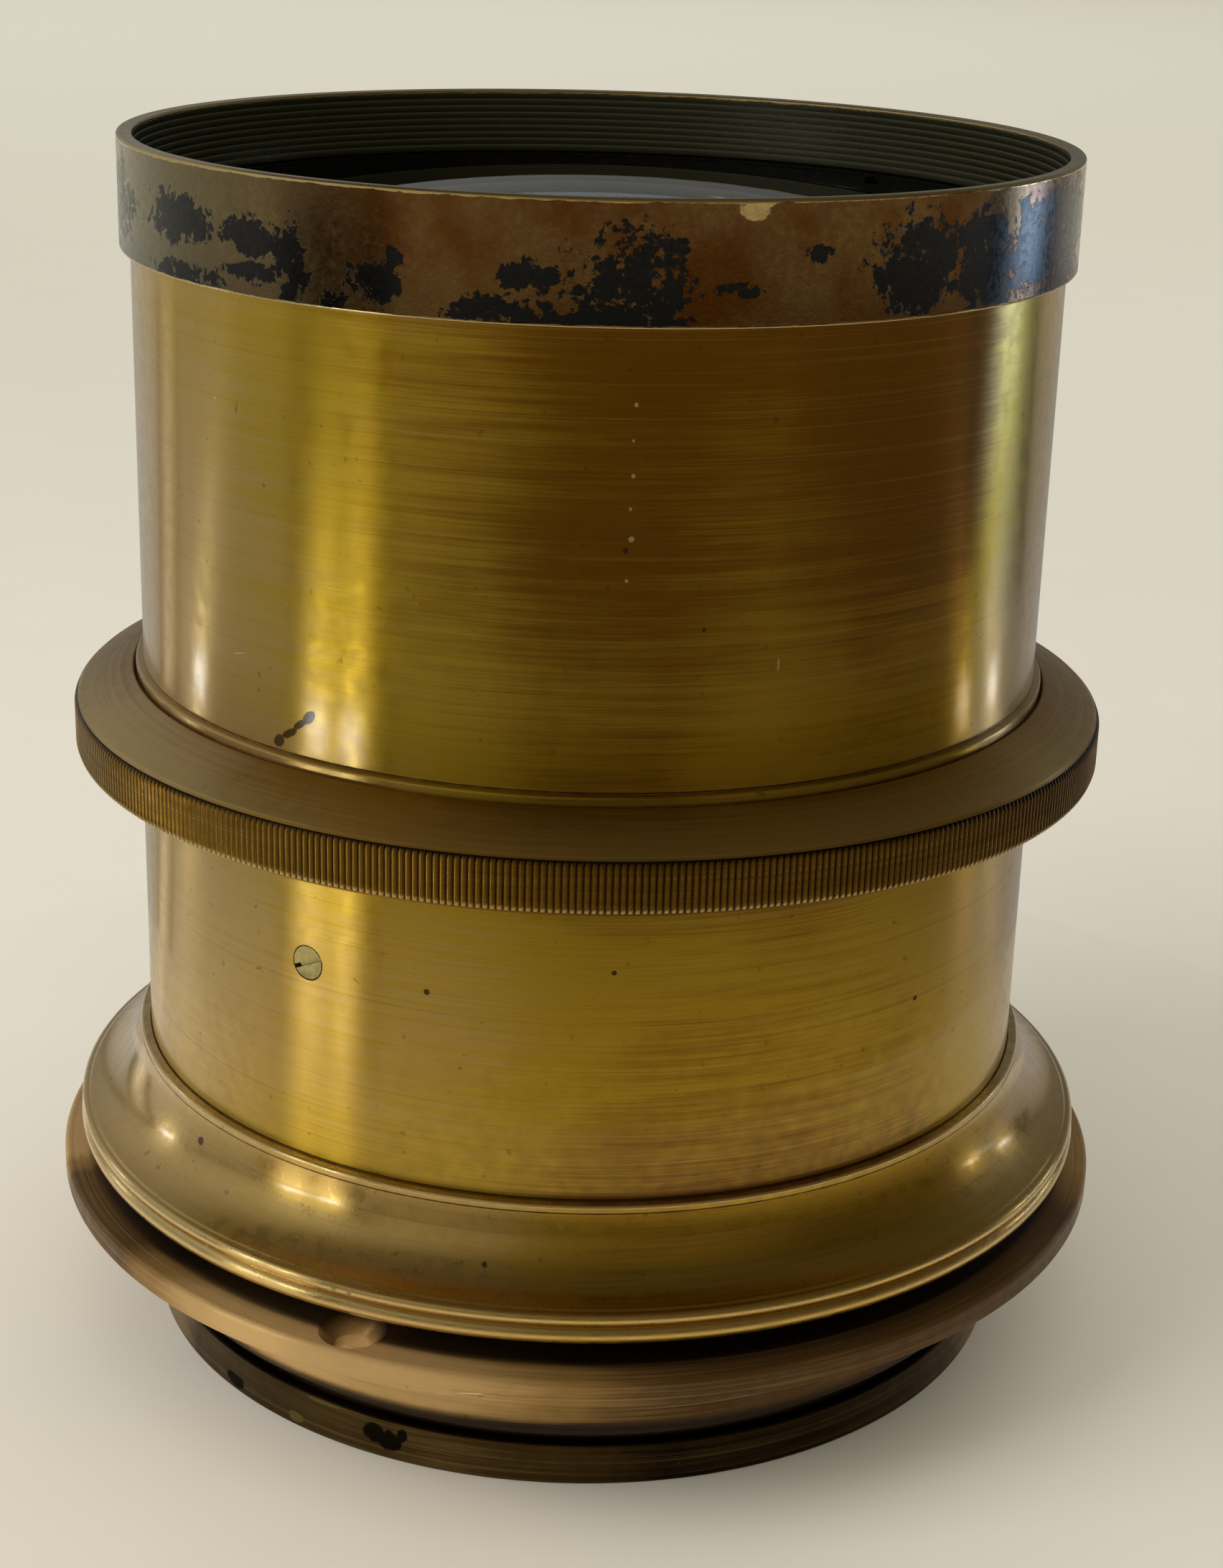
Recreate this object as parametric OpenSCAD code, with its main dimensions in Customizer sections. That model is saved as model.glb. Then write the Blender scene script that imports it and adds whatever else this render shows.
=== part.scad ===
// Large antique brass camera lens, standing on its rear cell with the hood up.
// The optical axis is +Z and the underside of the rear cell is at Z = 0.
// The side that faces the viewer is -Y. All lengths are in millimetres.

/* [Barrel] */
// Outer radius of the front barrel tube
front_tube_r = 45.0; // [40:0.1:52]
// How far the rear barrel tube stands out from the front one
rear_tube_out = 0.4; // [0.3:0.05:0.6]
// Wall thickness of the front barrel tube
front_wall = 1.5; // [1.3:0.1:1.6]
// Length of front barrel that shows between the ring and the hood
front_show_h = 41.2; // [34:0.5:60]
// Length of rear barrel that shows between the ring and the shoulder
rear_show_h = 30.5; // [26:0.5:45]
// Height of the small collar at the foot of the front barrel
foot_collar_h = 1.65; // [1.2:0.05:2.4]
// How far that collar stands out from the tube
foot_collar_out = 0.75; // [0.6:0.05:0.85]
// How far the top of that collar stands above the ring
foot_collar_up = 0.8; // [0.6:0.05:1]

/* [Hood] */
// How far the hood stands out from the front barrel
hood_out = 1.0; // [0.6:0.1:3]
// Height of the hood
hood_h = 10.6; // [10:0.2:20]
// Wall thickness of the hood at its rim
hood_wall = 1.5; // [1.2:0.1:1.9]
// Number of blackened steps inside the hood
hood_steps = 6; // [3:1:8]
// Radial size of one step inside the hood
hood_step = 0.16; // [0.08:0.02:0.18]

/* [Aperture ring] */
// How far the knurled edge stands out from the front barrel
ring_out = 6.9; // [5.5:0.1:11]
// Height of the knurled edge
knurl_h = 5.4; // [4.4:0.2:8]
// Rise of the conical top from the knurled edge to the barrel
ring_cone_h = 2.7; // [2.6:0.1:4]
// Number of knurl teeth round the edge
knurl_teeth = 520; // [360:4:560]
// Depth of the knurling
knurl_depth = 0.3; // [0.15:0.05:0.4]
// Ring turn from fully open to the pose shown
ring_rest_turn = 12; // [0:1:24]
// Ring turn from fully open to fully closed
ring_full_turn = 56; // [40:1:56]

/* [Iris] */
// Number of iris blades
blade_count = 12; // [12:1:12]
// How far the edge of the open aperture lies inside the front barrel's outside
open_in = 12.0; // [11:0.5:14]
// Thickness of a blade
blade_t = 0.15; // [0.1:0.01:0.16]
// Rise of a blade for each degree along its length
blade_rise = 0.02; // [0.019:0.0005:0.021]
// Angle along a blade from its pivot pin to its drive pin
blade_arc = 150; // [148:1:152]
// Radius of the pivot pins
pivot_pin_r = 0.45; // [0.35:0.05:0.6]
// Radius of the drive pins
drive_pin_r = 0.5; // [0.4:0.05:0.6]

/* [Shoulder] */
// Height of the cove-moulded shoulder ring
shoulder_h = 10.8; // [9.6:0.2:16]
// How far the double bead stands out from the rear barrel
bead_out = 7.5; // [6:0.1:9]
// Height of the double bead
bead_h = 3.2; // [2.6:0.1:4]
// Radial wall of the lip at the top of the shoulder
lip_wall = 1.0; // [0.8:0.1:1.4]

/* [Mounting flange] */
// How far the flange plate stands out from its collar
flange_out = 7.8; // [6.5:0.1:15]
// Thickness of the flange plate
plate_t = 2.6; // [2.2:0.1:4]
// Length of the threaded collar behind the plate
collar_h = 8.0; // [6:0.5:12]
// Wall of the collar behind the plate
collar_wall = 1.7; // [1.3:0.1:2.1]
// Open gap left between the plate and the bead, as the lens is part unscrewed
flange_gap = 2.5; // [0.5:0.1:5]
// How far the middle of a screw hole lies inside the plate's edge
hole_in = 3.9; // [3.6:0.1:4]
// Number of screw holes
hole_count = 3; // [3:1:6]
// Radius of a screw hole
hole_r = 1.7; // [1.2:0.1:2]
// Radius of the countersink at the front face
sink_r = 3.15; // [2.4:0.05:3.3]
// Direction of the screw hole that shows, from +X
hole_turn = -113.5; // [-180:0.5:180]

/* [Rear cell] */
// How far the blackened rear rim lies inside the rear barrel's outside
rear_rim_in = 0.2; // [0:0.05:0.3]
// Height of the rear rim
rear_rim_h = 4.4; // [4:0.1:7]
// Dark recess between the rear rim and the flange collar
recess_h = 2.2; // [1.5:0.1:4]

/* [Glass] */
// How far the edge of the front glasses lies inside the front barrel's bore
front_glass_in = 1.5; // [1.3:0.1:2.5]
// How far the edge of the rear glasses lies inside the rear barrel's bore
rear_glass_in = 1.6; // [1.5:0.1:2.6]
// Radius of curvature of the two outermost faces
outer_curve = 200; // [160:5:400]
// Radius of curvature of the cemented faces
cement_curve = 120; // [110:5:150]
// Radius of curvature of the two faces towards the iris
inner_curve = 260; // [220:5:400]
// Thickness of the flint glass at its centre
flint_t = 2.5; // [2.3:0.1:4]
// Thickness of the crown glass at its centre
crown_t = 7.0; // [6.6:0.1:9]
// Depth of the front glass edge below the rim of the hood
front_glass_depth = 8.6; // [8.2:0.1:10]
// Height of the rear glass edge above the base
rear_glass_z = 6.0; // [5.8:0.1:7]

/* [Screws] */
// Radius of the heads of the barrel screws
screw_head_r = 1.6; // [1.3:0.1:2.2]
// Radius of the shanks of the barrel screws
screw_r = 1.0; // [0.7:0.1:1.2]
// Height of the barrel screws above the shoulder
screw_up = 19.7; // [18.6:0.1:21.5]
// Direction of the barrel screw that shows, from +X
screw_turn = -123.5; // [-180:0.5:180]
// Radius of the screw that drives the iris
drive_screw_r = 1.2; // [0.9:0.1:1.3]
// Direction of that screw in the pose shown, from +X
drive_turn = 90; // [60:1:120]

/* [Fits] */
// Radial clearance of the threads and sliding fits
fit = 0.05; // [0.03:0.01:0.08]
// End clearance between stacked pieces
seat = 0.05; // [0.02:0.01:0.08]
// End play of the turning ring and iris parts
play = 0.1; // [0.06:0.01:0.15]
// Size of the small broken edges
edge = 0.3; // [0.1:0.05:0.4]

/* [Hidden] */
$fn = 180;

// Heights of the outside, from the base up
skirt_z = rear_rim_h + recess_h;
plate_z = skirt_z + collar_h;
bead_z = plate_z + plate_t + flange_gap;
lip_z = bead_z + shoulder_h;
ring_z = lip_z + rear_show_h;
knurl_z = ring_z + knurl_h;
cone_z = knurl_z + ring_cone_h;
hood_z = cone_z + front_show_h;
top_z = hood_z + hood_h;

// Radii of the two tubes, and of what is sized by them
rear_tube_r = front_tube_r + rear_tube_out;
bore_r = front_tube_r - front_wall;
bore_step = 0.5;
rear_bore_r = bore_r - bore_step;
ring_r = front_tube_r + ring_out;
open_r = front_tube_r - open_in;
bead_r = rear_tube_r + bead_out;
rear_rim_r = rear_tube_r - rear_rim_in;
front_glass_r = bore_r - front_glass_in;
rear_glass_r = rear_bore_r - rear_glass_in;

// Joint under the ring: collar, ring lip, ring seat and the thread of the front barrel
foot_r = front_tube_r + foot_collar_out;
ring_seat_r = front_tube_r;
foot_z = cone_z + foot_collar_up - foot_collar_h;
lip_thread_h = 2.2;
joint_thread_r = ring_seat_r - front_wall / 2;
rear_top_z = foot_z - seat;
spigot_z = rear_top_z - lip_thread_h;

// Iris stack, from the housing's step upwards
housing_r = bore_r - fit;
iris_web = 1.0;
drive_web = 0.9;
drive_rim_h = 3.0;
iris_lock_h = 1.4;
lock_lap = 0.6;
lock_top_z = spigot_z + lock_lap;
lock_z = lock_top_z - iris_lock_h;
drive_top_z = lock_z - play;
drive_z = drive_top_z - drive_rim_h;
blade_side_gap = 0.25;
blade_w = housing_r - blade_side_gap - open_r;
blade_r = open_r + blade_w / 2;
cap_turn = asin(blade_w / 2 / blade_r);
blade_low_z = drive_z - play - blade_t / 2 - blade_rise * (blade_arc + cap_turn);
web_top_z = blade_low_z - blade_rise * cap_turn - blade_t / 2 - play;
web_z = web_top_z - iris_web;
housing_foot = 3.7;
step_z = lip_z + screw_up - housing_foot;
drive_screw_z = drive_z + drive_rim_h / 2 + play;
drive_hole_r = drive_screw_r + fit;
slot_gap = 0.4;
slot_side = drive_pin_r + slot_gap;
web_in_r = open_r + 0.2;
pin_chord = 2 * blade_r * sin(blade_arc / 2);
pin_near_r = pin_chord - blade_r;
blade_rest_turn = ring_rest_turn / 2;
slot_wall = 1.2;
drive_rim_in_r = blade_r + slot_side + slot_wall;

// Rear end: thread sizes and seats
rear_thread_wall = 1.3;
skirt_wall = 0.95;
rear_thread_r = rear_bore_r + rear_thread_wall;
skirt_r = rear_thread_r + skirt_wall;
flange_bore_r = skirt_r + fit;
collar_r = flange_bore_r + collar_wall;
collar_bevel = 0.8;
collar_bevel_h = 0.9;
flange_r = collar_r + flange_out;
hole_circle_r = flange_r - hole_in;
rear_spigot_r = rear_bore_r - fit;
rear_end_z = rear_rim_h + seat;
barrel_step_h = 0.45;
barrel_step_z = lip_z - barrel_step_h;

// Edge thickness of a cemented pair
function sag(r, curve) = curve - sqrt(curve * curve - r * r);
function flint_edge(r) = flint_t + sag(r, cement_curve) - sag(r, outer_curve);
function crown_edge(r) = crown_t + sag(r, inner_curve) - sag(r, cement_curve);
front_glass_z = top_z - front_glass_depth;
front_pair_t = flint_edge(front_glass_r) + crown_edge(front_glass_r);
rear_pair_t = flint_edge(rear_glass_r) + crown_edge(rear_glass_r);
front_vertex_z = front_glass_z + sag(front_glass_r, outer_curve);
rear_vertex_z = rear_glass_z - sag(rear_glass_r, outer_curve);

// Points on an arc of a circle, as [radius, height] pairs
function arc_points(r, z, size, from, to, steps) =
    [for (i = [0:steps]) let (a = from + (to - from) * i / steps) [r + size * cos(a), z + size * sin(a)]];

// A turned piece from its outline of [radius, height] points
module turned(outline) {
    rotate_extrude() polygon(outline);
}

// A plain turned ring
module ring_body(inner, outer, low, high) {
    turned([[inner, low], [outer, low], [outer, high], [inner, high]]);
}

// A round hole or rod that points outwards along a radius
module radial_rod(turn, z, size, from, to) {
    rotate([0, 0, turn]) translate([from, 0, z]) rotate([0, 90, 0])
        cylinder(r = size, h = to - from, $fn = 48);
}

// Two square notches for a spanner in the face of a retaining ring
module spanner_notches(inner, outer, low, high) {
    for (turn = [45, 225]) rotate([0, 0, turn])
        translate([inner - 1, -1, low]) cube([outer - inner + 2, 2, high - low]);
}

// Hood: a black ring with broken edges and fine steps inside
hood_r = front_tube_r + hood_out;
cell_flange_r = bore_r + 0.45;
cell_top_z = front_glass_z + 1.9;
steps_z = cell_top_z + 0.15;
steps_pitch = (top_z - edge - steps_z) / hood_steps;
module lens_hood() color([0.13, 0.11, 0.10]) turned(concat(
    [[cell_flange_r + fit, hood_z + seat], [hood_r - edge, hood_z + seat], [hood_r, hood_z + seat + edge],
     [hood_r, top_z - edge], [hood_r - edge, top_z]],
    [for (i = [0:hood_steps - 1], side = [0, 1]) let (down = i + side)
        [hood_r - hood_wall - hood_step * i, down == 0 ? top_z : top_z - edge - steps_pitch * down]],
    [[cell_flange_r + fit, steps_z]]
));

// Front cell: holds the front pair of glasses and screws into the front barrel
cell_ledge_r = front_glass_r - 1.5;
cell_ring_r = front_glass_r + 0.5;
cell_seat_z = front_glass_z - front_pair_t - seat;
cell_low_z = cell_seat_z - 1.2;
module front_cell() color([0.12, 0.11, 0.10]) turned([
    [cell_ledge_r, cell_low_z], [housing_r, cell_low_z], [housing_r, hood_z + seat],
    [cell_flange_r, hood_z + seat], [cell_flange_r, cell_top_z], [cell_ring_r + fit, cell_top_z],
    [cell_ring_r + fit, front_glass_z + 0.1], [front_glass_r + fit, front_glass_z + 0.1],
    [front_glass_r + fit, cell_seat_z], [cell_ledge_r, cell_seat_z]]);

// Threaded ring that holds the front glasses down
front_lock_in_r = front_glass_r - 1.0;
front_lock_z = front_glass_z + sag(front_glass_r, outer_curve) - sag(front_lock_in_r, outer_curve) + seat;
module front_retaining_ring() color([0.14, 0.13, 0.12]) difference() {
    ring_body(front_lock_in_r, cell_ring_r, front_lock_z, front_lock_z + 1.4);
    spanner_notches(front_lock_in_r, cell_ring_r, front_lock_z + 0.8, front_lock_z + 2);
}

// A disc of glass, domed above and hollow below, from the heights of its two vertices
module glass_disc(r, top, top_curve, bottom, bottom_curve) {
    difference() {
        intersection() {
            translate([0, 0, bottom - sag(r, bottom_curve)])
                cylinder(r = r, h = top - bottom + sag(r, bottom_curve));
            translate([0, 0, top - top_curve]) sphere(r = top_curve, $fn = 360);
        }
        translate([0, 0, bottom - bottom_curve]) sphere(r = bottom_curve, $fn = 360);
    }
}
module flint_disc(r, vertex) glass_disc(r, vertex, outer_curve, vertex - flint_t, cement_curve);
module crown_disc(r, vertex)
    glass_disc(r, vertex - flint_t, cement_curve, vertex - flint_t - crown_t, inner_curve);

module front_flint_glass() color([0.75, 0.82, 0.85, 0.5]) flint_disc(front_glass_r, front_vertex_z);
module front_crown_glass() color([0.80, 0.86, 0.86, 0.5]) crown_disc(front_glass_r, front_vertex_z);
module rear_flint_glass() color([0.75, 0.82, 0.85, 0.5])
    translate([0, 0, rear_vertex_z]) mirror([0, 0, 1]) flint_disc(rear_glass_r, 0);
module rear_crown_glass() color([0.80, 0.86, 0.86, 0.5])
    translate([0, 0, rear_vertex_z]) mirror([0, 0, 1]) crown_disc(rear_glass_r, 0);

// Front barrel: a tube with a small collar at its foot and a thread below it
module front_barrel() color([0.62, 0.50, 0.20]) turned([
    [bore_r, spigot_z + seat], [joint_thread_r - fit, spigot_z + seat], [joint_thread_r - fit, foot_z],
    [foot_r, foot_z], [foot_r, foot_z + foot_collar_h - edge], [foot_r - edge, foot_z + foot_collar_h],
    [front_tube_r, foot_z + foot_collar_h], [front_tube_r, hood_z], [bore_r, hood_z]]);

// Knurled aperture ring: turns on the rear barrel, held by the foot collar
knurl_root_r = ring_r - knurl_depth;
knurl_low_z = ring_z + play + edge;
knurl_high_z = knurl_z - edge;
bevel_r = knurl_root_r - 0.05;
bevel_in_r = knurl_root_r - 0.5;
ring_lip_z = foot_z - play;
cone_in_r = foot_r + 0.25;
function knurl_points() = [for (i = [0:knurl_teeth - 1], side = [0, 1])
    let (a = 360 * (i + side / 2) / knurl_teeth, r = side == 0 ? ring_r : knurl_root_r)
    [r * cos(a), r * sin(a)]];
module knurl_band() {
    difference() {
        translate([0, 0, knurl_low_z]) linear_extrude(knurl_high_z - knurl_low_z) polygon(knurl_points());
        translate([0, 0, ring_z]) cylinder(r = knurl_root_r - 1, h = knurl_h);
    }
}
module aperture_ring() color([0.45, 0.34, 0.20]) difference() {
    union() {
        turned([
            [ring_seat_r + fit, ring_z + play], [bevel_r - edge, ring_z + play], [bevel_r, knurl_low_z],
            [bevel_in_r, knurl_low_z], [bevel_in_r, knurl_high_z], [bevel_r, knurl_high_z],
            [bevel_r - edge, knurl_z], [cone_in_r, cone_z], [cone_in_r, ring_lip_z],
            [ring_seat_r + fit, ring_lip_z]]);
        knurl_band();
    }
    radial_rod(drive_turn, drive_screw_z, drive_hole_r, ring_seat_r - 1, ring_r + 1);
}

// Slotted headless screw that joins the aperture ring to the drive ring
drive_screw_in_r = drive_rim_in_r + 0.6;
drive_screw_out_r = knurl_root_r - 0.6;
module drive_screw() color([0.40, 0.36, 0.30]) difference() {
    radial_rod(drive_turn, drive_screw_z, drive_screw_r, drive_screw_in_r, drive_screw_out_r);
    rotate([0, 0, drive_turn])
        translate([drive_screw_out_r - 0.6, -2, drive_screw_z - 0.2]) cube([2, 4, 0.4]);
}

// Ring that keeps the iris parts down
module iris_retaining_ring() color([0.15, 0.14, 0.13]) difference() {
    ring_body(drive_rim_in_r + 0.3, housing_r, lock_z, lock_top_z);
    spanner_notches(drive_rim_in_r + 0.3, housing_r, lock_z + 0.8, lock_top_z + 1);
}

// Drive ring: a slotted web under a rim that takes the drive screw
slot_rest_turn = blade_arc + ring_rest_turn;
module drive_slot() {
    low = pin_near_r - 0.3;
    high = blade_r + 0.3;
    translate([low, -slot_side, drive_z - 1]) cube([high - low, 2 * slot_side, drive_web + 2]);
    for (r = [low, high])
        translate([r, 0, drive_z - 1]) cylinder(r = slot_side, h = drive_web + 2, $fn = 32);
}
module iris_drive_ring() color([0.15, 0.14, 0.13]) difference() {
    turned([
        [web_in_r, drive_z], [housing_r, drive_z], [housing_r, drive_top_z],
        [drive_rim_in_r, drive_top_z], [drive_rim_in_r, drive_z + drive_web],
        [web_in_r, drive_z + drive_web]]);
    for (i = [0:blade_count - 1]) rotate([0, 0, 360 / blade_count * i + slot_rest_turn]) drive_slot();
    radial_rod(drive_turn, drive_screw_z, drive_hole_r, drive_rim_in_r - 1, bore_r + 1);
}

// Iris housing: a sleeve with a web on top that carries the blade pivots
sleeve_wall = 1.6;
module iris_housing() color([0.15, 0.14, 0.13]) difference() {
    turned([
        [housing_r - sleeve_wall, step_z + seat], [housing_r, step_z + seat], [housing_r, web_top_z],
        [web_in_r, web_top_z], [web_in_r, web_z], [housing_r - sleeve_wall, web_z]]);
    for (i = [0:blade_count - 1]) rotate([0, 0, 360 / blade_count * i])
        translate([blade_r, 0, web_z - 1]) cylinder(r = pivot_pin_r + fit, h = iris_web + 2, $fn = 32);
    for (turn = [screw_turn, screw_turn + 180])
        radial_rod(turn, lip_z + screw_up, screw_r + fit, housing_r - sleeve_wall - 1, housing_r + 1);
}

// Iris blade: a curved strip of thin sheet that rises evenly from its pivot pin to its drive pin,
// so that each blade passes over its neighbour. Rows of points run along it, each row with an
// inner and an outer point, below and above.
cap_rows = [80, 50, 25, 0];
strip_steps = 15;
function row_turn(centre_turn, along, across) =
    centre_turn + atan2(along, blade_r + across);
function row_point(centre_turn, along, across, up) = let (
    turn = row_turn(centre_turn, along, across),
    r = sqrt(along * along + (blade_r + across) * (blade_r + across)))
    [r * cos(turn), r * sin(turn), blade_low_z + blade_rise * turn + up];
function row_points(centre_turn, along, across) = [
    row_point(centre_turn, along, -across, -blade_t / 2),
    row_point(centre_turn, along, across, -blade_t / 2),
    row_point(centre_turn, along, across, blade_t / 2),
    row_point(centre_turn, along, -across, blade_t / 2)];
blade_rows = concat(
    [for (a = cap_rows) row_points(0, -blade_w / 2 * sin(a), blade_w / 2 * cos(a))],
    [for (i = [1:strip_steps - 1]) row_points(blade_arc * i / strip_steps, 0, blade_w / 2)],
    [for (i = [len(cap_rows) - 1:-1:0]) let (a = cap_rows[i])
        row_points(blade_arc, blade_w / 2 * sin(a), blade_w / 2 * cos(a))]);
module blade_strip() {
    rows = len(blade_rows);
    points = [for (row = blade_rows, p = row) p];
    sides = [for (i = [0:rows - 2], k = [0:3]) let (a = 4 * i + k, b = 4 * i + (k + 1) % 4)
        each (k < 2 ? [[a, b, b + 4], [a, b + 4, a + 4]] : [[a, b, a + 4], [b, b + 4, a + 4]])];
    last = 4 * (rows - 1);
    ends = [[0, 2, 1], [0, 3, 2], [last, last + 1, last + 2], [last, last + 2, last + 3]];
    polyhedron(points, concat(sides, ends));
}
pin_top_z = drive_z + drive_web - 0.1;
drive_pin_z = blade_low_z + blade_rise * blade_arc;
module iris_blade(place) color([0.20, 0.19, 0.19])
    rotate([0, 0, 360 / blade_count * place]) translate([blade_r, 0, 0]) rotate([0, 0, blade_rest_turn])
    translate([-blade_r, 0, 0]) {
        blade_strip();
        translate([blade_r, 0, web_z + play])
            cylinder(r = pivot_pin_r, h = blade_low_z - web_z - play, $fn = 24);
        rotate([0, 0, blade_arc]) translate([blade_r, 0, drive_pin_z])
            cylinder(r = drive_pin_r, h = pin_top_z - drive_pin_z, $fn = 24);
    }

// Two countersunk slotted screws that hold the iris housing in the rear barrel
screw_top = rear_tube_r - 0.05;
screw_cone = 0.6;
screw_slot_turn = 115;
module barrel_screw() {
    translate([0, 0, lip_z + screw_up]) rotate([0, 90, 0]) difference() {
        translate([0, 0, housing_r - sleeve_wall + 0.2]) union() {
            cylinder(r = screw_r, h = screw_top - housing_r + sleeve_wall - 0.4, $fn = 32);
            translate([0, 0, screw_top - housing_r + sleeve_wall - 0.4 - screw_cone])
                cylinder(r1 = screw_r, r2 = screw_head_r, h = screw_cone, $fn = 32);
            translate([0, 0, screw_top - housing_r + sleeve_wall - 0.4])
                cylinder(r = screw_head_r, h = 0.2, $fn = 32);
        }
        rotate([0, 0, screw_slot_turn]) translate([-2.5, -0.2, screw_top - 0.45]) cube([5, 0.4, 2]);
    }
}
module barrel_screws() color([0.72, 0.62, 0.36]) {
    rotate([0, 0, screw_turn]) barrel_screw();
    rotate([0, 0, screw_turn + 180]) barrel_screw();
}
module screw_hole() {
    translate([0, 0, lip_z + screw_up]) rotate([0, 90, 0]) {
        translate([0, 0, rear_bore_r - 1]) cylinder(r = screw_r + fit, h = 4, $fn = 48);
        translate([0, 0, screw_top - 0.2 - screw_cone])
            cylinder(r1 = screw_r + fit, r2 = screw_head_r + fit, h = screw_cone, $fn = 48);
        translate([0, 0, screw_top - 0.2]) cylinder(r = screw_head_r + fit, h = 2, $fn = 48);
    }
}

// Sector of a ring, for the slot that the drive screw travels in
module ring_sector(from, to, inner, outer, low, high) {
    translate([0, 0, low]) linear_extrude(high - low) polygon(concat(
        [for (i = [0:16]) let (a = from + (to - from) * i / 16) inner * [cos(a), sin(a)]],
        [for (i = [16:-1:0]) let (a = from + (to - from) * i / 16) outer * [cos(a), sin(a)]]));
}

// Rear barrel: the main tube, with the ring seat on top and the long thread below
slot_half = drive_screw_r + 0.15;
slot_end_turn = asin((slot_half + 0.2) / bore_r);
module rear_barrel() color([0.60, 0.48, 0.20]) difference() {
    turned([
        [rear_bore_r, rear_end_z], [rear_thread_r, rear_end_z], [rear_thread_r, barrel_step_z],
        [rear_tube_r, barrel_step_z], [rear_tube_r, ring_z], [ring_seat_r, ring_z],
        [ring_seat_r, rear_top_z],
        [joint_thread_r, rear_top_z], [joint_thread_r, spigot_z], [bore_r, spigot_z],
        [bore_r, step_z], [rear_bore_r, step_z]]);
    open_turn = drive_turn - ring_rest_turn;
    ring_sector(open_turn - slot_end_turn, open_turn + ring_full_turn + slot_end_turn,
        bore_r - 1, ring_seat_r + 1, drive_screw_z - slot_half, drive_screw_z + slot_half);
    for (turn = [screw_turn, screw_turn + 180]) rotate([0, 0, turn]) screw_hole();
}

// Shoulder ring: lip, cove and double bead outside, threads inside and on its skirt
lip_r = rear_tube_r + fit + lip_wall;
cove_top_z = lip_z - 0.7;
cove_low_z = bead_z + bead_h + 0.1;
cove_out_r = bead_r - 0.9;
cove_size = (cove_top_z - cove_low_z) * 1.15;
cove_half = norm([cove_out_r - lip_r, cove_top_z - cove_low_z]) / 2;
cove_turn = atan2(cove_top_z - cove_low_z, cove_out_r - lip_r);
cove_back = sqrt(cove_size * cove_size - cove_half * cove_half);
cove_mid = [(cove_out_r + lip_r) / 2, (cove_top_z + cove_low_z) / 2];
cove_centre = cove_mid + cove_back * [sin(cove_turn), cos(cove_turn)];
cove_from = atan2(cove_low_z - cove_centre[1], cove_out_r - cove_centre[0]);
cove_to = atan2(cove_top_z - cove_centre[1], lip_r - cove_centre[0]);
low_bead_h = bead_h * 0.6;
top_bead_h = bead_h - low_bead_h;
module shoulder_ring() color([0.55, 0.44, 0.20]) turned(concat(
    [[rear_thread_r + fit, skirt_z], [skirt_r - edge, skirt_z],
        [skirt_r, skirt_z + edge], [skirt_r, bead_z]],
    arc_points(bead_r - low_bead_h / 2, bead_z + low_bead_h / 2, low_bead_h / 2, -90, 75, 8),
    arc_points(bead_r - 0.1 - top_bead_h / 2, bead_z + low_bead_h + top_bead_h / 2, top_bead_h / 2,
        -60, 100, 6),
    arc_points(cove_centre[0], cove_centre[1], cove_size, cove_from,
        cove_to < 0 ? cove_to : cove_to - 360, 12),
    [[lip_r, lip_z - edge], [lip_r - edge, lip_z], [rear_tube_r + fit, lip_z],
     [rear_tube_r + fit, barrel_step_z - seat], [rear_thread_r + fit, barrel_step_z - seat]]));

// Mounting flange: a plate with countersunk holes and a threaded collar behind it
plate_round = 0.5;
module mounting_flange() color([0.50, 0.40, 0.20]) difference() {
    turned(concat(
        [[flange_bore_r, skirt_z], [collar_r - collar_bevel, skirt_z],
            [collar_r, skirt_z + collar_bevel_h], [collar_r, plate_z]],
        arc_points(flange_r - plate_round, plate_z + plate_round, plate_round, -90, 0, 4),
        arc_points(flange_r - plate_round, plate_z + plate_t - plate_round, plate_round, 0, 90, 4),
        [[flange_bore_r, plate_z + plate_t]]));
    for (i = [0:hole_count - 1])
        rotate([0, 0, hole_turn + 360 / hole_count * i]) translate([hole_circle_r, 0, 0]) {
        translate([0, 0, plate_z - 1]) cylinder(r = hole_r, h = plate_t + 2, $fn = 48);
        translate([0, 0, plate_z + plate_t - sink_r + hole_r])
            cylinder(r1 = hole_r, r2 = sink_r, h = sink_r - hole_r, $fn = 48);
        translate([0, 0, plate_z + plate_t - 0.01]) cylinder(r = sink_r, h = 1, $fn = 48);
    }
}

// Rear cell: black rim below, a thread that goes into the rear barrel and a seat for the rear glasses
rear_ledge_r = rear_glass_r - 1.2;
rear_seat_z = rear_glass_z + rear_pair_t + seat;
rear_cell_top_z = rear_seat_z + 1.2;
rear_lock_r = rear_glass_r + 0.5;
module rear_cell() color([0.14, 0.11, 0.08]) turned([
    [rear_lock_r + 1.6, 0], [rear_rim_r - edge, 0], [rear_rim_r, edge], [rear_rim_r, rear_rim_h - edge],
    [rear_rim_r - edge, rear_rim_h], [rear_spigot_r, rear_rim_h], [rear_spigot_r, rear_cell_top_z],
    [rear_ledge_r, rear_cell_top_z], [rear_ledge_r, rear_seat_z], [rear_glass_r + fit, rear_seat_z],
    [rear_glass_r + fit, rear_glass_z - 0.1], [rear_lock_r + fit, rear_glass_z - 0.1],
    [rear_lock_r + fit, 3.4]]);

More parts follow.
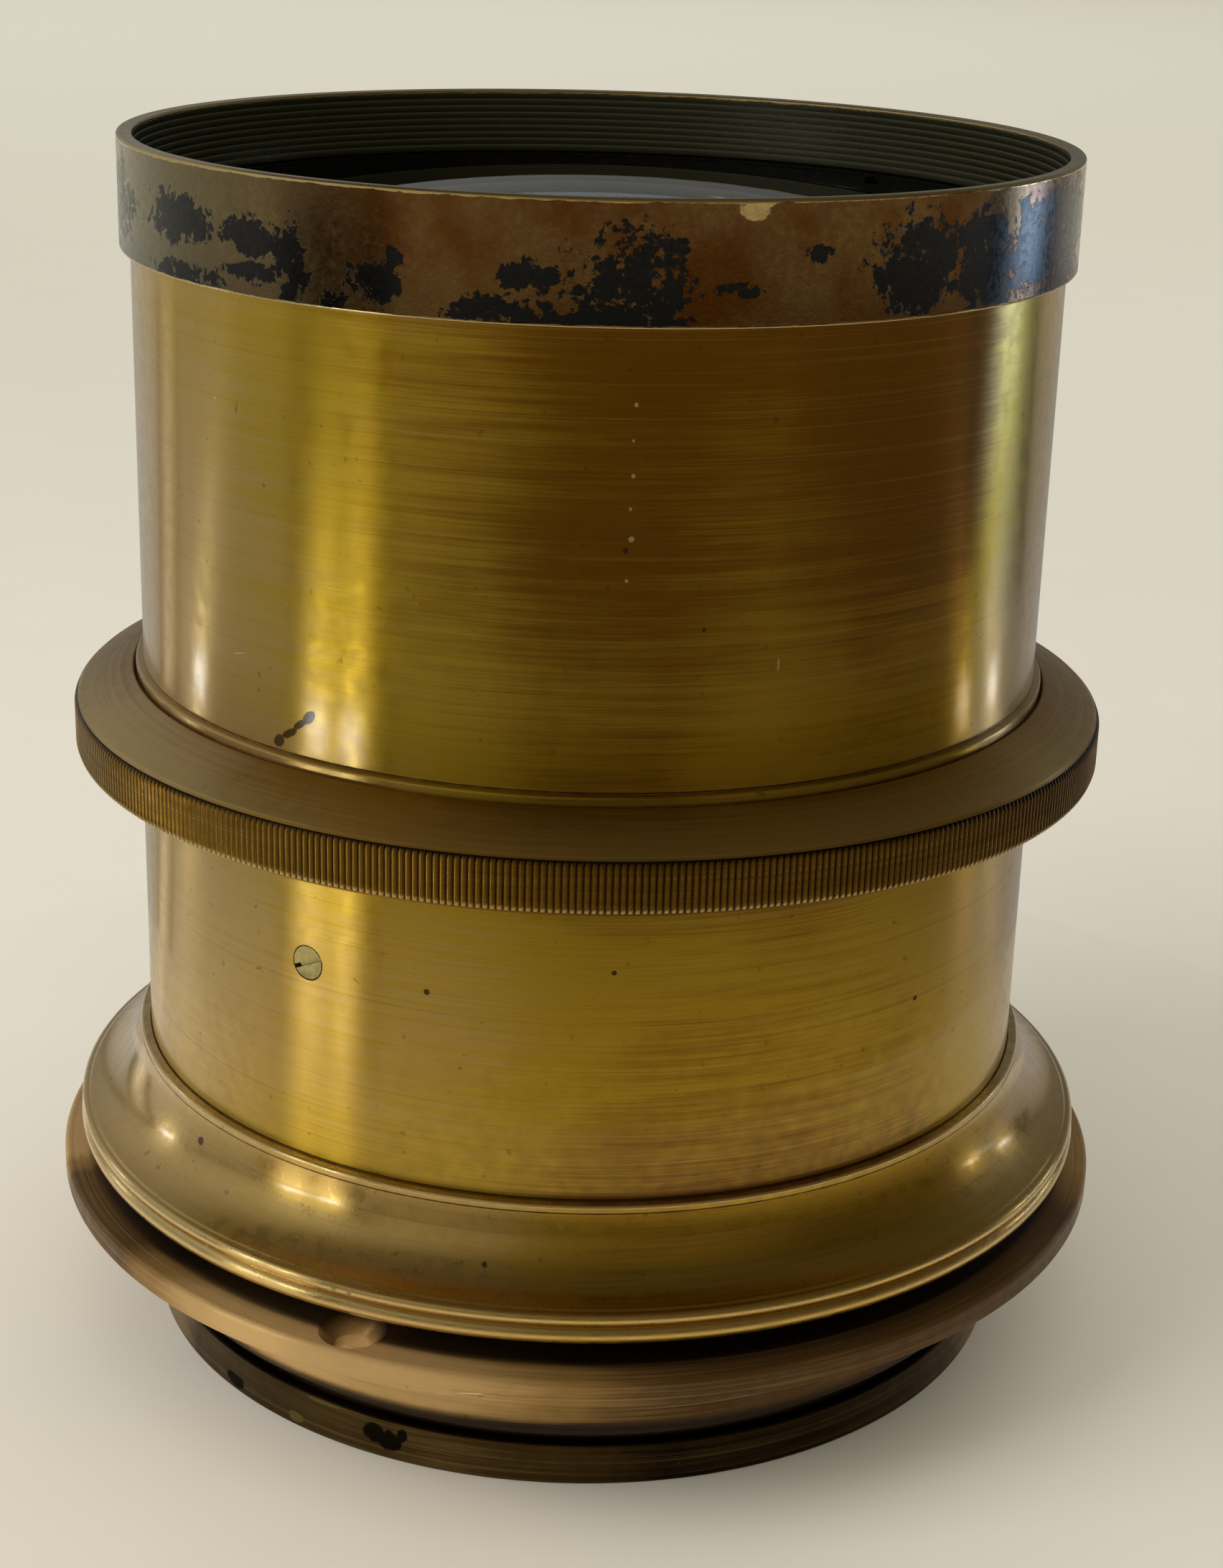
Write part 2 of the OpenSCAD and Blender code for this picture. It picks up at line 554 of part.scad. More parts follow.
// Threaded ring that holds the rear glasses up
rear_lock_in_r = rear_glass_r - 1.2;
rear_lock_top_z = rear_glass_z - sag(rear_glass_r, outer_curve) + sag(rear_lock_in_r, outer_curve) - seat;
module rear_retaining_ring() color([0.14, 0.13, 0.12]) difference() {
    ring_body(rear_lock_in_r, rear_lock_r, rear_lock_top_z - 1.4, rear_lock_top_z);
    spanner_notches(rear_lock_in_r, rear_lock_r, rear_lock_top_z - 2, rear_lock_top_z - 0.8);
}

lens_hood();
front_cell();
front_retaining_ring();
front_flint_glass();
front_crown_glass();
front_barrel();
aperture_ring();
drive_screw();
iris_retaining_ring();
iris_drive_ring();
iris_housing();
iris_blade(0);  // iris_blade_01
iris_blade(1);  // iris_blade_02
iris_blade(2);  // iris_blade_03
iris_blade(3);  // iris_blade_04
iris_blade(4);  // iris_blade_05
iris_blade(5);  // iris_blade_06
iris_blade(6);  // iris_blade_07
iris_blade(7);  // iris_blade_08
iris_blade(8);  // iris_blade_09
iris_blade(9);  // iris_blade_10
iris_blade(10);  // iris_blade_11
iris_blade(11);  // iris_blade_12
barrel_screws();
rear_barrel();
shoulder_ring();
mounting_flange();
rear_cell();
rear_crown_glass();
rear_flint_glass();
rear_retaining_ring();
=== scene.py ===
import math

import bpy
import numpy as np
from mathutils import Matrix, Vector


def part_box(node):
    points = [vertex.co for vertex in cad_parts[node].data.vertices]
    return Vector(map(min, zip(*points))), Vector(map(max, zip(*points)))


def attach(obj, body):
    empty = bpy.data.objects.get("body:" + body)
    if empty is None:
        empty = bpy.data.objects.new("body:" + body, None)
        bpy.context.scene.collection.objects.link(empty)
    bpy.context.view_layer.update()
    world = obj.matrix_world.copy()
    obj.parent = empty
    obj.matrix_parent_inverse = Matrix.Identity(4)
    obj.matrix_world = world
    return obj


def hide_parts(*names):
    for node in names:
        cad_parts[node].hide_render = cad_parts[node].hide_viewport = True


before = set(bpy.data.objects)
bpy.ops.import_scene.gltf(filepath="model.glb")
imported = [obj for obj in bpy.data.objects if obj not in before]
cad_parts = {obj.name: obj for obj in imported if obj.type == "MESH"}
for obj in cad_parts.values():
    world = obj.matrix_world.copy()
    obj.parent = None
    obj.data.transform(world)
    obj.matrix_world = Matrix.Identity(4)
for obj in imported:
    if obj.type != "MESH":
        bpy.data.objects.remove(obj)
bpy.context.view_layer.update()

# Old brass lens, standing on its rear cell. Outlines are written in millimetres as
# (radius, height) pairs that run anticlockwise, and become metres in make_mesh.
MM = 0.001
COLUMNS = 720
GLASS_COLUMNS = 192
BODY = "barrel"
RING_BODY = "ring"


def span(node):
    """Lowest height, highest height and outer radius of a CAD node, in millimetres."""
    low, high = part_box(node)
    return low.z / MM, high.z / MM, high.x / MM


HOOD_LOW, HOOD_HIGH, HOOD_R = span("lens_hood")
CELL_LOW, CELL_HIGH, CELL_R = span("front_cell")
LOCK_LOW, _, LOCK_R = span("front_retaining_ring")
FRONT_LOW, FRONT_HIGH, FOOT_R = span("front_barrel")
RING_LOW, RING_HIGH, RING_R = span("aperture_ring")
REAR_LOW, REAR_HIGH, REAR_R = span("rear_barrel")
SHOULDER_LOW, SHOULDER_HIGH, BEAD_R = span("shoulder_ring")
FLANGE_LOW, FLANGE_HIGH, FLANGE_R = span("mounting_flange")
_, REAR_CELL_HIGH, RIM_R = span("rear_cell")

# Turned sizes that the boxes don't give
TUBE_R = FOOT_R - 0.75
BORE_R = TUBE_R - 1.5
FOOT_COLLAR_H = 1.65
SPIGOT_H = 2.15
SPIGOT_R = TUBE_R - 0.8
EDGE = 0.3
SEAT_GAP = 0.05

# Guard beside each arc in millimetres, points in an arc, and the weld's steps per millimetre
GUARD = 0.03
ARC_POINTS = 6
WELD_STEPS = 1e5


# Mesh making


def make_mesh(name, points, quads, weld=True):
    """Points in millimetres and faces as whole arrays; points that coincide become one,
    and a quad that loses a corner at a pole becomes a triangle."""
    keys = np.round(points * WELD_STEPS).astype(np.int64) if weld else np.arange(len(points))[:, None]
    _, first, index = np.unique(keys, axis=0, return_index=True, return_inverse=True)
    faces = index.reshape(-1)[np.asarray(quads, int)]
    same = faces == np.roll(faces, -1, axis=1)
    poled = same.sum(axis=1) == 1
    whole = faces[~same.any(axis=1)]
    thirds = faces[poled][~same[poled]].reshape(-1, 3)
    mesh = bpy.data.meshes.new(name)
    corners = np.concatenate([whole.reshape(-1), thirds.reshape(-1)])
    counts = np.concatenate([np.full(len(whole), 4), np.full(len(thirds), 3)])
    mesh.vertices.add(len(first))
    mesh.vertices.foreach_set("co", (points[first] * MM).reshape(-1))
    mesh.loops.add(len(corners))
    mesh.loops.foreach_set("vertex_index", corners)
    mesh.polygons.add(len(counts))
    mesh.polygons.foreach_set("loop_start", np.concatenate([[0], np.cumsum(counts)[:-1]]))
    mesh.polygons.foreach_set("use_smooth", np.ones(len(counts), bool))
    mesh.update(calc_edges=True)
    mesh.validate()
    piece = bpy.data.objects.new(name, mesh)
    bpy.context.scene.collection.objects.link(piece)
    return piece


def outline_of(corners, rounds, step=0.6, inner=0.0):
    """A closed outline with each corner replaced by an arc: corner k, of radius rounds[k], keeps
    its tangent points at radius / tan(half the corner's angle) along both sides. A corner with no
    radius, or one that is almost straight, stays as it is. Guard points just past each arc hold
    the shading, and long sides beyond radius inner are cut into steps."""
    almost_straight = 1.56
    corners = np.asarray(corners, float)
    before = np.roll(corners, 1, axis=0) - corners
    after = np.roll(corners, -1, axis=0) - corners
    runs = []
    for at, back, ahead, size in zip(corners, before, after, rounds):
        back_way, ahead_way = back / np.linalg.norm(back), ahead / np.linalg.norm(ahead)
        half = 0.5 * math.acos(np.clip(back_way @ ahead_way, -1, 1))
        if size == 0 or half > almost_straight:
            runs.append(at[None])
            continue
        cut = size / math.tan(half)
        middle = (back_way + ahead_way) / np.linalg.norm(back_way + ahead_way)
        centre = at + middle * size / math.sin(half)
        first, last = at + back_way * cut - centre, at + ahead_way * cut - centre
        turn = math.atan2(first[0] * last[1] - first[1] * last[0], first @ last)
        t = np.linspace(0, turn, ARC_POINTS)[:, None]
        side = np.array([-first[1], first[0]])
        arc = centre + np.cos(t) * first + np.sin(t) * side
        runs.append(np.vstack([arc[0] + back_way * GUARD, arc, arc[-1] + ahead_way * GUARD]))
    path = np.vstack(runs)
    ends = np.roll(path, -1, axis=0)
    pieces = []
    for start, end in zip(path, ends):
        outside = max(start[0], end[0]) > inner
        cuts = max(1, int(np.linalg.norm(end - start) / step)) if outside else 1
        pieces.append(start + (end - start) * np.arange(cuts)[:, None] / cuts)
    return np.vstack(pieces)


def grid_quads(columns, rows, closed=True):
    """Quads between neighbouring columns and rows of a turned grid, numbered row by row."""
    i = np.arange(columns)
    j = np.arange(rows if closed else rows - 1)
    i, j = np.meshgrid(i, j)
    right, above = (i + 1) % columns, (j + 1) % rows
    return np.stack([j * columns + i, j * columns + right, above * columns + right, above * columns + i],
                    axis=-1)


def turn_points(outline, columns):
    """Outline point (r, z) at angle a goes to (r cos a, r sin a, z), row by row."""
    a = np.arange(columns) * 2 * math.pi / columns
    r, z = outline[:, 0, None], outline[:, 1, None]
    return np.stack([r * np.cos(a), r * np.sin(a), z + 0 * a], axis=-1)


def turned(name, outline, columns=COLUMNS, holes=(), points=None):
    """A solid of revolution of a closed outline, with round holes. Around each hole the grid loses a
    patch of faces, and rings of points lead from the patch's edge down into the hole."""
    if points is None:
        points = turn_points(outline, columns)
    points = points.reshape(-1, 3)
    quads = grid_quads(columns, len(outline))
    extra = []
    for hole in holes:
        low, high = sorted((hole.row_far, hole.row_near))
        around = np.arange(hole.column - hole.half, hole.column + hole.half) % columns
        quads[np.ix_(range(low, high), around)] = -1
        loop = hole.loop(hole.row_far, hole.row_near, columns)
        if hole.back:
            first, last = sorted(hole.back)
            quads[np.ix_(range(first, last), around)] = -1
        aim = hole.aim(points[loop])
        rings = [loop]
        for radius, depth in hole.rings:
            ring = hole.place(aim * radius, depth)
            rings.append(len(points) + np.arange(len(ring)))
            points = np.vstack([points, ring])
        if hole.back:
            rings.append(hole.loop(*hole.back, columns))
        for outer, inner in zip(rings, rings[1:]):
            extra.append(np.stack([outer, np.roll(outer, -1), np.roll(inner, -1), inner], axis=-1))
    quads = quads.reshape(-1, 4)
    return make_mesh(name, points, np.vstack([quads[quads[:, 0] >= 0]] + extra))


class Hole:
    """A round hole at a column of a turned grid, between two of its rows. The rings are
    (radius, depth) pairs; back names two rows of the far face where a hole goes through."""

    def __init__(self, column, half, row_far, row_near, rings, back=None):
        self.column, self.half, self.rings, self.back = column, half, rings, back
        self.row_far, self.row_near = row_far, row_near

    def loop(self, far, near, columns):
        across = (self.column + np.arange(-self.half, self.half + 1)) % columns
        down = np.arange(far, near, 1 if near > far else -1)[1:]
        ids = [far * columns + across, down * columns + across[-1], near * columns + across[::-1],
               down[::-1] * columns + across[0]]
        return np.concatenate(ids)


class FaceHole(Hole):
    """A hole across a flat face: centre at radius r along angle a, depth along -Z."""

    def set(self, angle, radius, z):
        self.out = np.array([math.cos(angle), math.sin(angle), 0])
        self.side = np.array([-math.sin(angle), math.cos(angle), 0])
        self.centre = radius * self.out + np.array([0, 0, z])
        return self

    def aim(self, points):
        flat = np.stack([(points - self.centre) @ self.side, (points - self.centre) @ self.out], axis=-1)
        return flat / np.linalg.norm(flat, axis=1)[:, None]

    def place(self, flat, depth):
        return self.centre + flat[:, :1] * self.side + flat[:, 1:] * self.out - np.array([0, 0, depth])


class WallHole(Hole):
    """A hole into a round wall: (s, t) on the wall lies at angle a + s / R and height z + t."""

    def set(self, angle, radius, z):
        self.angle, self.radius, self.z = angle, radius, z
        return self

    def aim(self, points):
        turn = np.arctan2(points[:, 1], points[:, 0]) - self.angle
        turn = (turn + math.pi) % (2 * math.pi) - math.pi
        flat = np.stack([turn * self.radius, points[:, 2] - self.z], axis=-1)
        return flat / np.linalg.norm(flat, axis=1)[:, None]

    def place(self, flat, depth):
        turn = self.angle + flat[:, 0] / self.radius
        r = self.radius - depth
        return np.stack([r * np.cos(turn), r * np.sin(turn), self.z + flat[:, 1]], axis=-1)


def row_at(outline, radius, height):
    """Number of the outline's point nearest to (radius, height)."""
    return int(np.argmin(np.hypot(outline[:, 0] - radius, outline[:, 1] - height)))


def glass_disc(radius, top, top_curve, bottom, bottom_curve, steps=24):
    """A lens of z = vertex - sag(r) above and below, where sag(r) = R - sqrt(R^2 - r^2), joined by
    a straight ground edge with a fine bevel. Heights go down from a vertex at 0."""
    bevel = 0.15
    r = radius * np.sin(np.linspace(0, math.pi / 2, steps))
    upper = top - top_curve + np.sqrt(top_curve**2 - r**2)
    lower = bottom - bottom_curve + np.sqrt(bottom_curve**2 - r**2)
    under = np.stack([r, lower], axis=-1)
    over = np.stack([r, upper], axis=-1)[::-1]
    chamfer = np.array([[radius, lower[-1] + bevel], [radius, upper[-1] - bevel]])
    outline = np.vstack([under[:-1], [[radius - bevel, lower[-1]]], chamfer,
                         [[radius - bevel, upper[-1]]], over[1:]])
    return outline, grid_quads(GLASS_COLUMNS, len(outline), closed=False)


# Materials


class Finish:
    """One material's node tree, with a short call for each kind of node."""

    def __init__(self, name):
        self.material = bpy.data.materials.new(name)
        self.material.use_nodes = True
        self.tree = self.material.node_tree
        self.shader = self.tree.nodes["Principled BSDF"]
        self.place = self.node("TexCoord").outputs["Object"]

    def node(self, kind, inputs=None, **settings):
        made = self.tree.nodes.new("ShaderNode" + kind)
        for key, value in settings.items():
            setattr(made, key, value)
        for key, value in (inputs or {}).items():
            self.give(made.inputs[key], value)
        return made

    def give(self, socket, value):
        if isinstance(value, bpy.types.NodeSocket):
            self.tree.links.new(value, socket)
        else:
            socket.default_value = value

    def set(self, **inputs):
        for key, value in inputs.items():
            self.give(self.shader.inputs[key.replace("_", " ")], value)

    def math(self, operation, a, b=0.0):
        return self.node("Math", {0: a, 1: b}, operation=operation).outputs[0]

    def ramp(self, value, low, high, to_low=0.0, to_high=1.0):
        """A smooth step from to_low, where value is low or less, to to_high, where it is high."""
        made = self.node("MapRange", {0: value, 1: low, 2: high, 3: to_low, 4: to_high},
                         interpolation_type="SMOOTHSTEP")
        return made.outputs[0]

    def mix(self, factor, a, b):
        a = (*a, 1.0) if isinstance(a, tuple) else a
        b = (*b, 1.0) if isinstance(b, tuple) else b
        return self.node("Mix", {0: factor, 6: a, 7: b}, data_type="RGBA").outputs[2]

    def noise(self, scale, detail=4.0, roughness=0.55, vector=None, distortion=0.0):
        made = self.node("TexNoise", {"Vector": vector or self.place, "Scale": scale, "Detail": detail,
                                      "Roughness": roughness, "Distortion": distortion})
        return made.outputs["Fac"]

    def attribute(self, name):
        return self.node("Attribute", attribute_name=name).outputs["Fac"]

    def along(self, way, line):
        """Length of a vector socket along a fixed line."""
        return self.node("VectorMath", {0: way, 1: line}, operation="DOT_PRODUCT").outputs["Value"]

    def marks(self, spots=(), bands=()):
        """The highest of 1 - (across / wide)^2 - (up / high)^2 - (inward / 3 mm)^2 over all spots
        (radius, turn, height, wide, high, slope), and of 1 - (dz / half)^2 over all bands
        (height, half), in millimetres; a turn is 0 at the front and grows to the right."""
        depth = 3 * MM
        field = -1.0
        for radius, turn, height, wide, high, slope in spots:
            side, ahead = math.sin(math.radians(turn)), math.cos(math.radians(turn))
            centre = (radius * side * MM, -radius * ahead * MM, height * MM)
            way = self.node("VectorMath", {0: self.place, 1: centre}, operation="SUBTRACT").outputs[0]
            across = self.along(way, (ahead / wide / MM, side / wide / MM, 0))
            up = self.along(way, (-slope * ahead / high / MM, -slope * side / high / MM, 1 / high / MM))
            inward = self.along(way, (side / depth, -ahead / depth, 0))
            here = self.math("SUBTRACT", 1.0, self.math("POWER", across, 2.0))
            here = self.math("SUBTRACT", here, self.math("POWER", up, 2.0))
            here = self.math("SUBTRACT", here, self.math("POWER", inward, 2.0))
            field = self.math("MAXIMUM", here, field)
        for height, half in bands:
            away = self.along(self.place, (0, 0, 1 / half / MM))
            away = self.math("SUBTRACT", away, height / half)
            field = self.math("MAXIMUM", self.math("SUBTRACT", 1.0, self.math("POWER", away, 2.0)), field)
        return field

    def turning(self, fine=7000.0, around=60.0):
        """Fine lines left by the lathe: noise read at (radius, height), almost the same all round."""
        flat = self.node("VectorMath", {0: self.place, 1: (1.0, 1.0, 0.0)}, operation="MULTIPLY")
        radius = self.node("VectorMath", {0: flat.outputs[0]}, operation="LENGTH").outputs["Value"]
        parts = self.node("SeparateXYZ", {0: self.place})
        lines = self.node("CombineXYZ", {"X": self.math("MULTIPLY", radius, fine),
                                         "Y": self.math("MULTIPLY", parts.outputs["X"], around),
                                         "Z": self.math("MULTIPLY", parts.outputs["Z"], fine)})
        return self.noise(1.0, 3.0, 0.6, lines.outputs[0])

    def bump(self, height, distance, strength=1.0, under=None):
        made = self.node("Bump", {"Height": height, "Distance": distance, "Strength": strength})
        if under is not None:
            self.give(made.inputs["Normal"], under)
        return made.outputs["Normal"]


def brass(name, pale, gold, brown, rough=0.33, aniso=0.9, stains=((), ()), brights=((), ()),
          dark=(0.10, 0.05, 0.012), light=(0.85, 0.66, 0.34), coat=0.4, metallic=1.0, relief=1.0):
    """Turned brass under old lacquer. The patina_and_shading attribute runs from 0, pale bare metal, over 1,
    golden lacquer, to 2, brown lacquer, and holds painted light and shade as well as patina: pale where
    light falls, brown in shade; clouds, lathe lines and fine hairlines vary it. The tip attribute shows
    light metal on rubbed edges and painted highlights, and the recess_shade attribute paints near-black
    shade into gaps and recesses. Stains of the dark colour and brights of the light one are (spots,
    bands) for marks."""
    f = Finish(name)
    cloud = f.noise(24.0, 3.0, 0.5)
    fine = f.noise(500.0, 5.0, 0.7)
    line = f.turning()
    broad_line = f.turning(fine=1500.0)
    hair = f.turning(fine=3800.0, around=9.0)
    # The point attribute read here holds patina and painted light and shade together.
    patina_and_shading = f.math("ADD", f.ramp(cloud, 0.30, 0.75, -0.32, 0.32), f.attribute("patina_and_shading"))
    patina_and_shading = f.math("ADD", patina_and_shading, f.ramp(fine, 0.3, 0.8, -0.03, 0.03))
    patina_and_shading = f.math("ADD", patina_and_shading, f.ramp(broad_line, 0.3, 0.7, -0.14, 0.14))
    patina_and_shading = f.math("ADD", patina_and_shading, f.ramp(line, 0.3, 0.7, -0.14, 0.14))
    colour = f.mix(f.ramp(patina_and_shading, 0.0, 1.0), pale, gold)
    colour = f.mix(f.ramp(patina_and_shading, 1.0, 2.0), colour, brown)
    colour = f.mix(f.ramp(hair, 0.54, 0.70, 0.0, 0.32), colour, pale)
    colour = f.mix(f.ramp(hair, 0.30, 0.44, 0.20, 0.0), colour, brown)
    speck = f.ramp(f.noise(1100.0, 2.0, 0.4), 0.70, 0.78)
    colour = f.mix(f.math("MULTIPLY", speck, 0.4), colour, (0.12, 0.07, 0.02))
    ragged = f.ramp(fine, 0.2, 0.8, -0.3, 0.3)
    stain = f.ramp(f.math("ADD", f.marks(*stains), ragged), 0.3, 0.55)
    colour = f.mix(f.math("MULTIPLY", stain, 0.9), colour, dark)
    bright = f.ramp(f.math("ADD", f.marks(*brights), ragged), 0.3, 0.55)
    # The tip attribute brings painted highlights as well as rubbed edges.
    bright = f.math("MAXIMUM", bright, f.attribute("tip"))
    colour = f.mix(bright, colour, light)
    # Painted shade: near black in gaps, recesses and the knurl's roots.
    colour = f.mix(f.attribute("recess_shade"), colour, (0.012, 0.006, 0.003))
    roughness = f.math("ADD", f.ramp(f.noise(700.0, 3.0), 0.3, 0.7, rough - 0.04, rough + 0.05),
                       f.math("MULTIPLY", stain, 0.25))
    pits = f.ramp(f.noise(2600.0, 2.0, 0.5), 0.70, 0.76)
    normal = f.bump(line, 0.000012, relief)
    normal = f.bump(f.math("SUBTRACT", 1.0, pits), 0.00002, 0.35 * relief, normal)
    f.set(Base_Color=colour, Metallic=metallic, Roughness=roughness, Normal=normal, Anisotropic=aniso)
    f.set(Coat_Weight=coat, Coat_Roughness=0.10)
    f.set(Anisotropic_Rotation=0.25, Tangent=f.node("Tangent", direction_type="RADIAL", axis="Z").outputs[0])
    return f.material


def black_paint(name):
    """Black paint over browned brass. It holds where the paint attribute and the blots together
    pass a threshold, and levels from 1.2 up paint light on it: the inner wall paler, and the steps'
    upper halves paler still as painted highlights. The rim attribute rubs edges bright. The bare metal
    is paler and more olive towards the left, as painted light."""
    f = Finish(name)
    blot = f.noise(420.0, 6.0, 0.65, distortion=0.6)
    broad = f.noise(110.0, 4.0, 0.6)
    fine = f.noise(1500.0, 4.0, 0.7)
    field = f.math("ADD", f.attribute("paint"), f.ramp(blot, 0.25, 0.75, -0.6, 0.6))
    field = f.math("ADD", field, f.ramp(fine, 0.3, 0.7, -0.3, 0.3))
    paint = f.ramp(field, 0.42, 0.5)
    bare = f.mix(f.ramp(broad, 0.35, 0.65), (0.19, 0.11, 0.04), (0.13, 0.045, 0.008))
    bare = f.mix(f.ramp(fine, 0.5, 0.9), bare, (0.26, 0.15, 0.055))
    # Painted light: the bare metal turns paler and more olive towards the left.
    bare = f.mix(f.ramp(f.along(f.place, (1, 0, 0)), -0.044, -0.012), (0.19, 0.17, 0.10), bare)
    rim = f.ramp(f.math("ADD", f.attribute("rim"), f.ramp(blot, 0.3, 0.7, -0.25, 0.25)), 0.45, 0.6)
    bare = f.mix(rim, bare, (0.62, 0.46, 0.20))
    dark = f.mix(f.ramp(broad, 0.3, 0.7), (0.0005, 0.0005, 0.001), (0.001, 0.001, 0.001))
    # Painted light: the inner wall paler, and the steps' upper halves paler still as painted highlights.
    dark = f.mix(f.ramp(f.attribute("paint"), 1.2, 1.5), dark, (0.008, 0.009, 0.004))
    dark = f.mix(f.ramp(f.attribute("paint"), 1.6, 3.0), dark, (0.10, 0.09, 0.05))
    shown = f.math("MULTIPLY", paint, f.math("SUBTRACT", 1.0, rim))
    f.set(Specular_IOR_Level=0.28)
    f.set(Base_Color=f.mix(shown, bare, dark), Metallic=f.math("SUBTRACT", 1.0, shown),
          Roughness=f.ramp(fine, 0.3, 0.7, 0.15, 0.28),
          Normal=f.bump(f.math("ADD", shown, f.math("MULTIPLY", fine, 0.25)), 0.00004))
    return f.material


def inner_black(name):
    """Dull black of the cells, retaining rings and iris parts, finely mottled, with lathe lines."""
    f = Finish(name)
    fine = f.noise(900.0, 5.0, 0.7)
    line = f.turning(fine=9000.0)
    colour = f.mix(f.ramp(fine, 0.45, 0.8), (0.0015, 0.0015, 0.001), (0.007, 0.006, 0.003))
    f.set(Specular_IOR_Level=0.12)
    f.set(Base_Color=colour, Metallic=0.0, Roughness=f.ramp(line, 0.3, 0.7, 0.42, 0.6),
          Normal=f.bump(line, 0.00002))
    return f.material


def plain_metal(name, light, dark, rough):
    """Small turned or stamped metal parts: two tones in clouds, with lathe lines."""
    f = Finish(name)
    cloud = f.noise(300.0, 5.0, 0.65)
    line = f.turning()
    f.set(Base_Color=f.mix(f.ramp(cloud, 0.35, 0.7), light, dark), Metallic=1.0,
          Roughness=f.ramp(f.noise(1200.0, 3.0), 0.3, 0.7, rough - 0.07, rough + 0.1),
          Normal=f.bump(line, 0.00001))
    return f.material


def lens_glass(name, index):
    """Clear old glass, faintly warm, with a thin haze of dust."""
    f = Finish(name)
    dust = f.ramp(f.noise(1800.0, 3.0, 0.6), 0.64, 0.78)
    f.set(Base_Color=f.mix(dust, (0.86, 0.88, 0.84), (0.70, 0.70, 0.66)), Transmission_Weight=1.0, IOR=index,
          Roughness=f.ramp(dust, 0.0, 1.0, 0.01, 0.12))
    return f.material


def floor_finish():
    """Pale paint, a little lighter far behind the lens, as painted light."""
    f = Finish("floor_paint")
    near = f.mix(f.noise(30.0, 4.0, 0.6), (0.76, 0.74, 0.70), (0.80, 0.78, 0.74))
    # Painted light: the floor grows lighter far behind the lens.
    back = f.ramp(f.along(f.place, (0, 1, 0)), 0.1, 1.2)
    f.set(Base_Color=f.mix(back, near, (0.92, 0.90, 0.83)), Roughness=0.6)
    return f.material


PALE = (0.66, 0.43, 0.14)
GOLD = (0.62, 0.40, 0.03)
BROWN = (0.30, 0.13, 0.004)
BARREL_FOOT = FRONT_LOW + SPIGOT_H + FOOT_COLLAR_H
BARREL_BRASS = brass(
    "lacquered_brass", PALE, GOLD, BROWN,
    stains=([(TUBE_R, -33.3, 73.7, 0.9, 0.7, 0.5), (TUBE_R, -34.6, 72.9, 1.0, 0.5, 0.6),
             (TUBE_R, -36.2, 71.8, 1.2, 0.55, 0.5), (TUBE_R, -37.8, 70.8, 0.9, 0.8, 0.2),
             (TUBE_R, 3.6, 91.6, 0.25, 0.35, 0), (TUBE_R, 12.5, 84.6, 0.2, 0.2, 0),
             (REAR_R, -17.7, 50.0, 0.35, 0.35, 0), (REAR_R, 3.7, 53.2, 0.3, 0.3, 0),
             (REAR_R, 43.8, 45.9, 0.4, 0.35, 0)],
            [(BARREL_FOOT + 0.1, 0.09), (SHOULDER_HIGH + 0.1, 0.12)]),
    brights=([(TUBE_R, 4.3, 104.0, 0.20, 0.25, 0), (TUBE_R, 4.1, 101.0, 0.14, 0.2, 0),
              (TUBE_R, 4.2, 98.0, 0.22, 0.25, 0), (TUBE_R, 4.0, 95.2, 0.16, 0.2, 0),
              (TUBE_R, 4.2, 92.6, 0.32, 0.35, 0), (TUBE_R, 3.8, 89.0, 0.18, 0.22, 0),
              (TUBE_R, 21.3, 81.1, 0.12, 0.8, 0.3), (TUBE_R, -44.2, 77.9, 1.3, 0.1, 0.25),
              (TUBE_R, -48.0, 100.6, 0.2, 0.2, 0)], []))
SHOULDER_BRASS = brass(
    "turned_brass", PALE, (0.60, 0.37, 0.03), BROWN, rough=0.29, aniso=0.75, coat=0.6, relief=0.15,
    light=(0.80, 0.58, 0.24),
    stains=([(48.5, -51, 27.5, 0.8, 0.6, 0), (50.5, -9.7, 25.1, 0.7, 0.5, 0),
             (BEAD_R, -24.5, 22.3, 0.35, 0.3, 0), (BEAD_R, -22.8, 22.2, 0.3, 0.25, 0)],
            [(SHOULDER_HIGH - 0.78, 0.09)]),
    # The bright band along the lip's top edge is a painted highlight.
    brights=([(BEAD_R, -41.5, 21.4, 0.35, 0.35, 0)], [(SHOULDER_HIGH - 0.15, 0.2)]))
FLANGE_BRASS = brass(
    "flange_brass", (0.64, 0.42, 0.18), (0.34, 0.20, 0.06), (0.10, 0.05, 0.014), rough=0.42,
    coat=0.0, metallic=0.65,
    brights=([(FLANGE_R, -9.5, 15.4, 1.5, 0.09, 0.1), (FLANGE_R, -19.6, 13.8, 0.3, 0.2, 0)], []))
RING_BRASS = brass(
    "patinated_brass", (0.54, 0.37, 0.17), (0.38, 0.20, 0.025), (0.19, 0.09, 0.004), rough=0.38,
    light=(0.80, 0.58, 0.22), coat=0.0, metallic=0.96)
HOOD_PAINT = black_paint("worn_black_paint")
REAR_BLACK = brass(
    "rear_black", (0.32, 0.22, 0.09), (0.075, 0.046, 0.014), (0.014, 0.008, 0.003), rough=0.4,
    stains=([(RIM_R, -24.6, 2.6, 1.5, 1.3, 0), (RIM_R, -22.4, 2.1, 1.6, 1.4, 0),
             (RIM_R, -20.8, 3.0, 0.8, 0.9, 0), (RIM_R, -48.0, 1.2, 1.8, 0.9, 0)], []),
    brights=([(RIM_R, -32.0, 4.0, 2.6, 0.35, 0), (RIM_R, -36.5, 1.0, 1.2, 0.7, 0)], []),
    dark=(0.005, 0.006, 0.003), light=(0.16, 0.12, 0.035), coat=0.0)
INNER_BLACK = inner_black("inner_black")
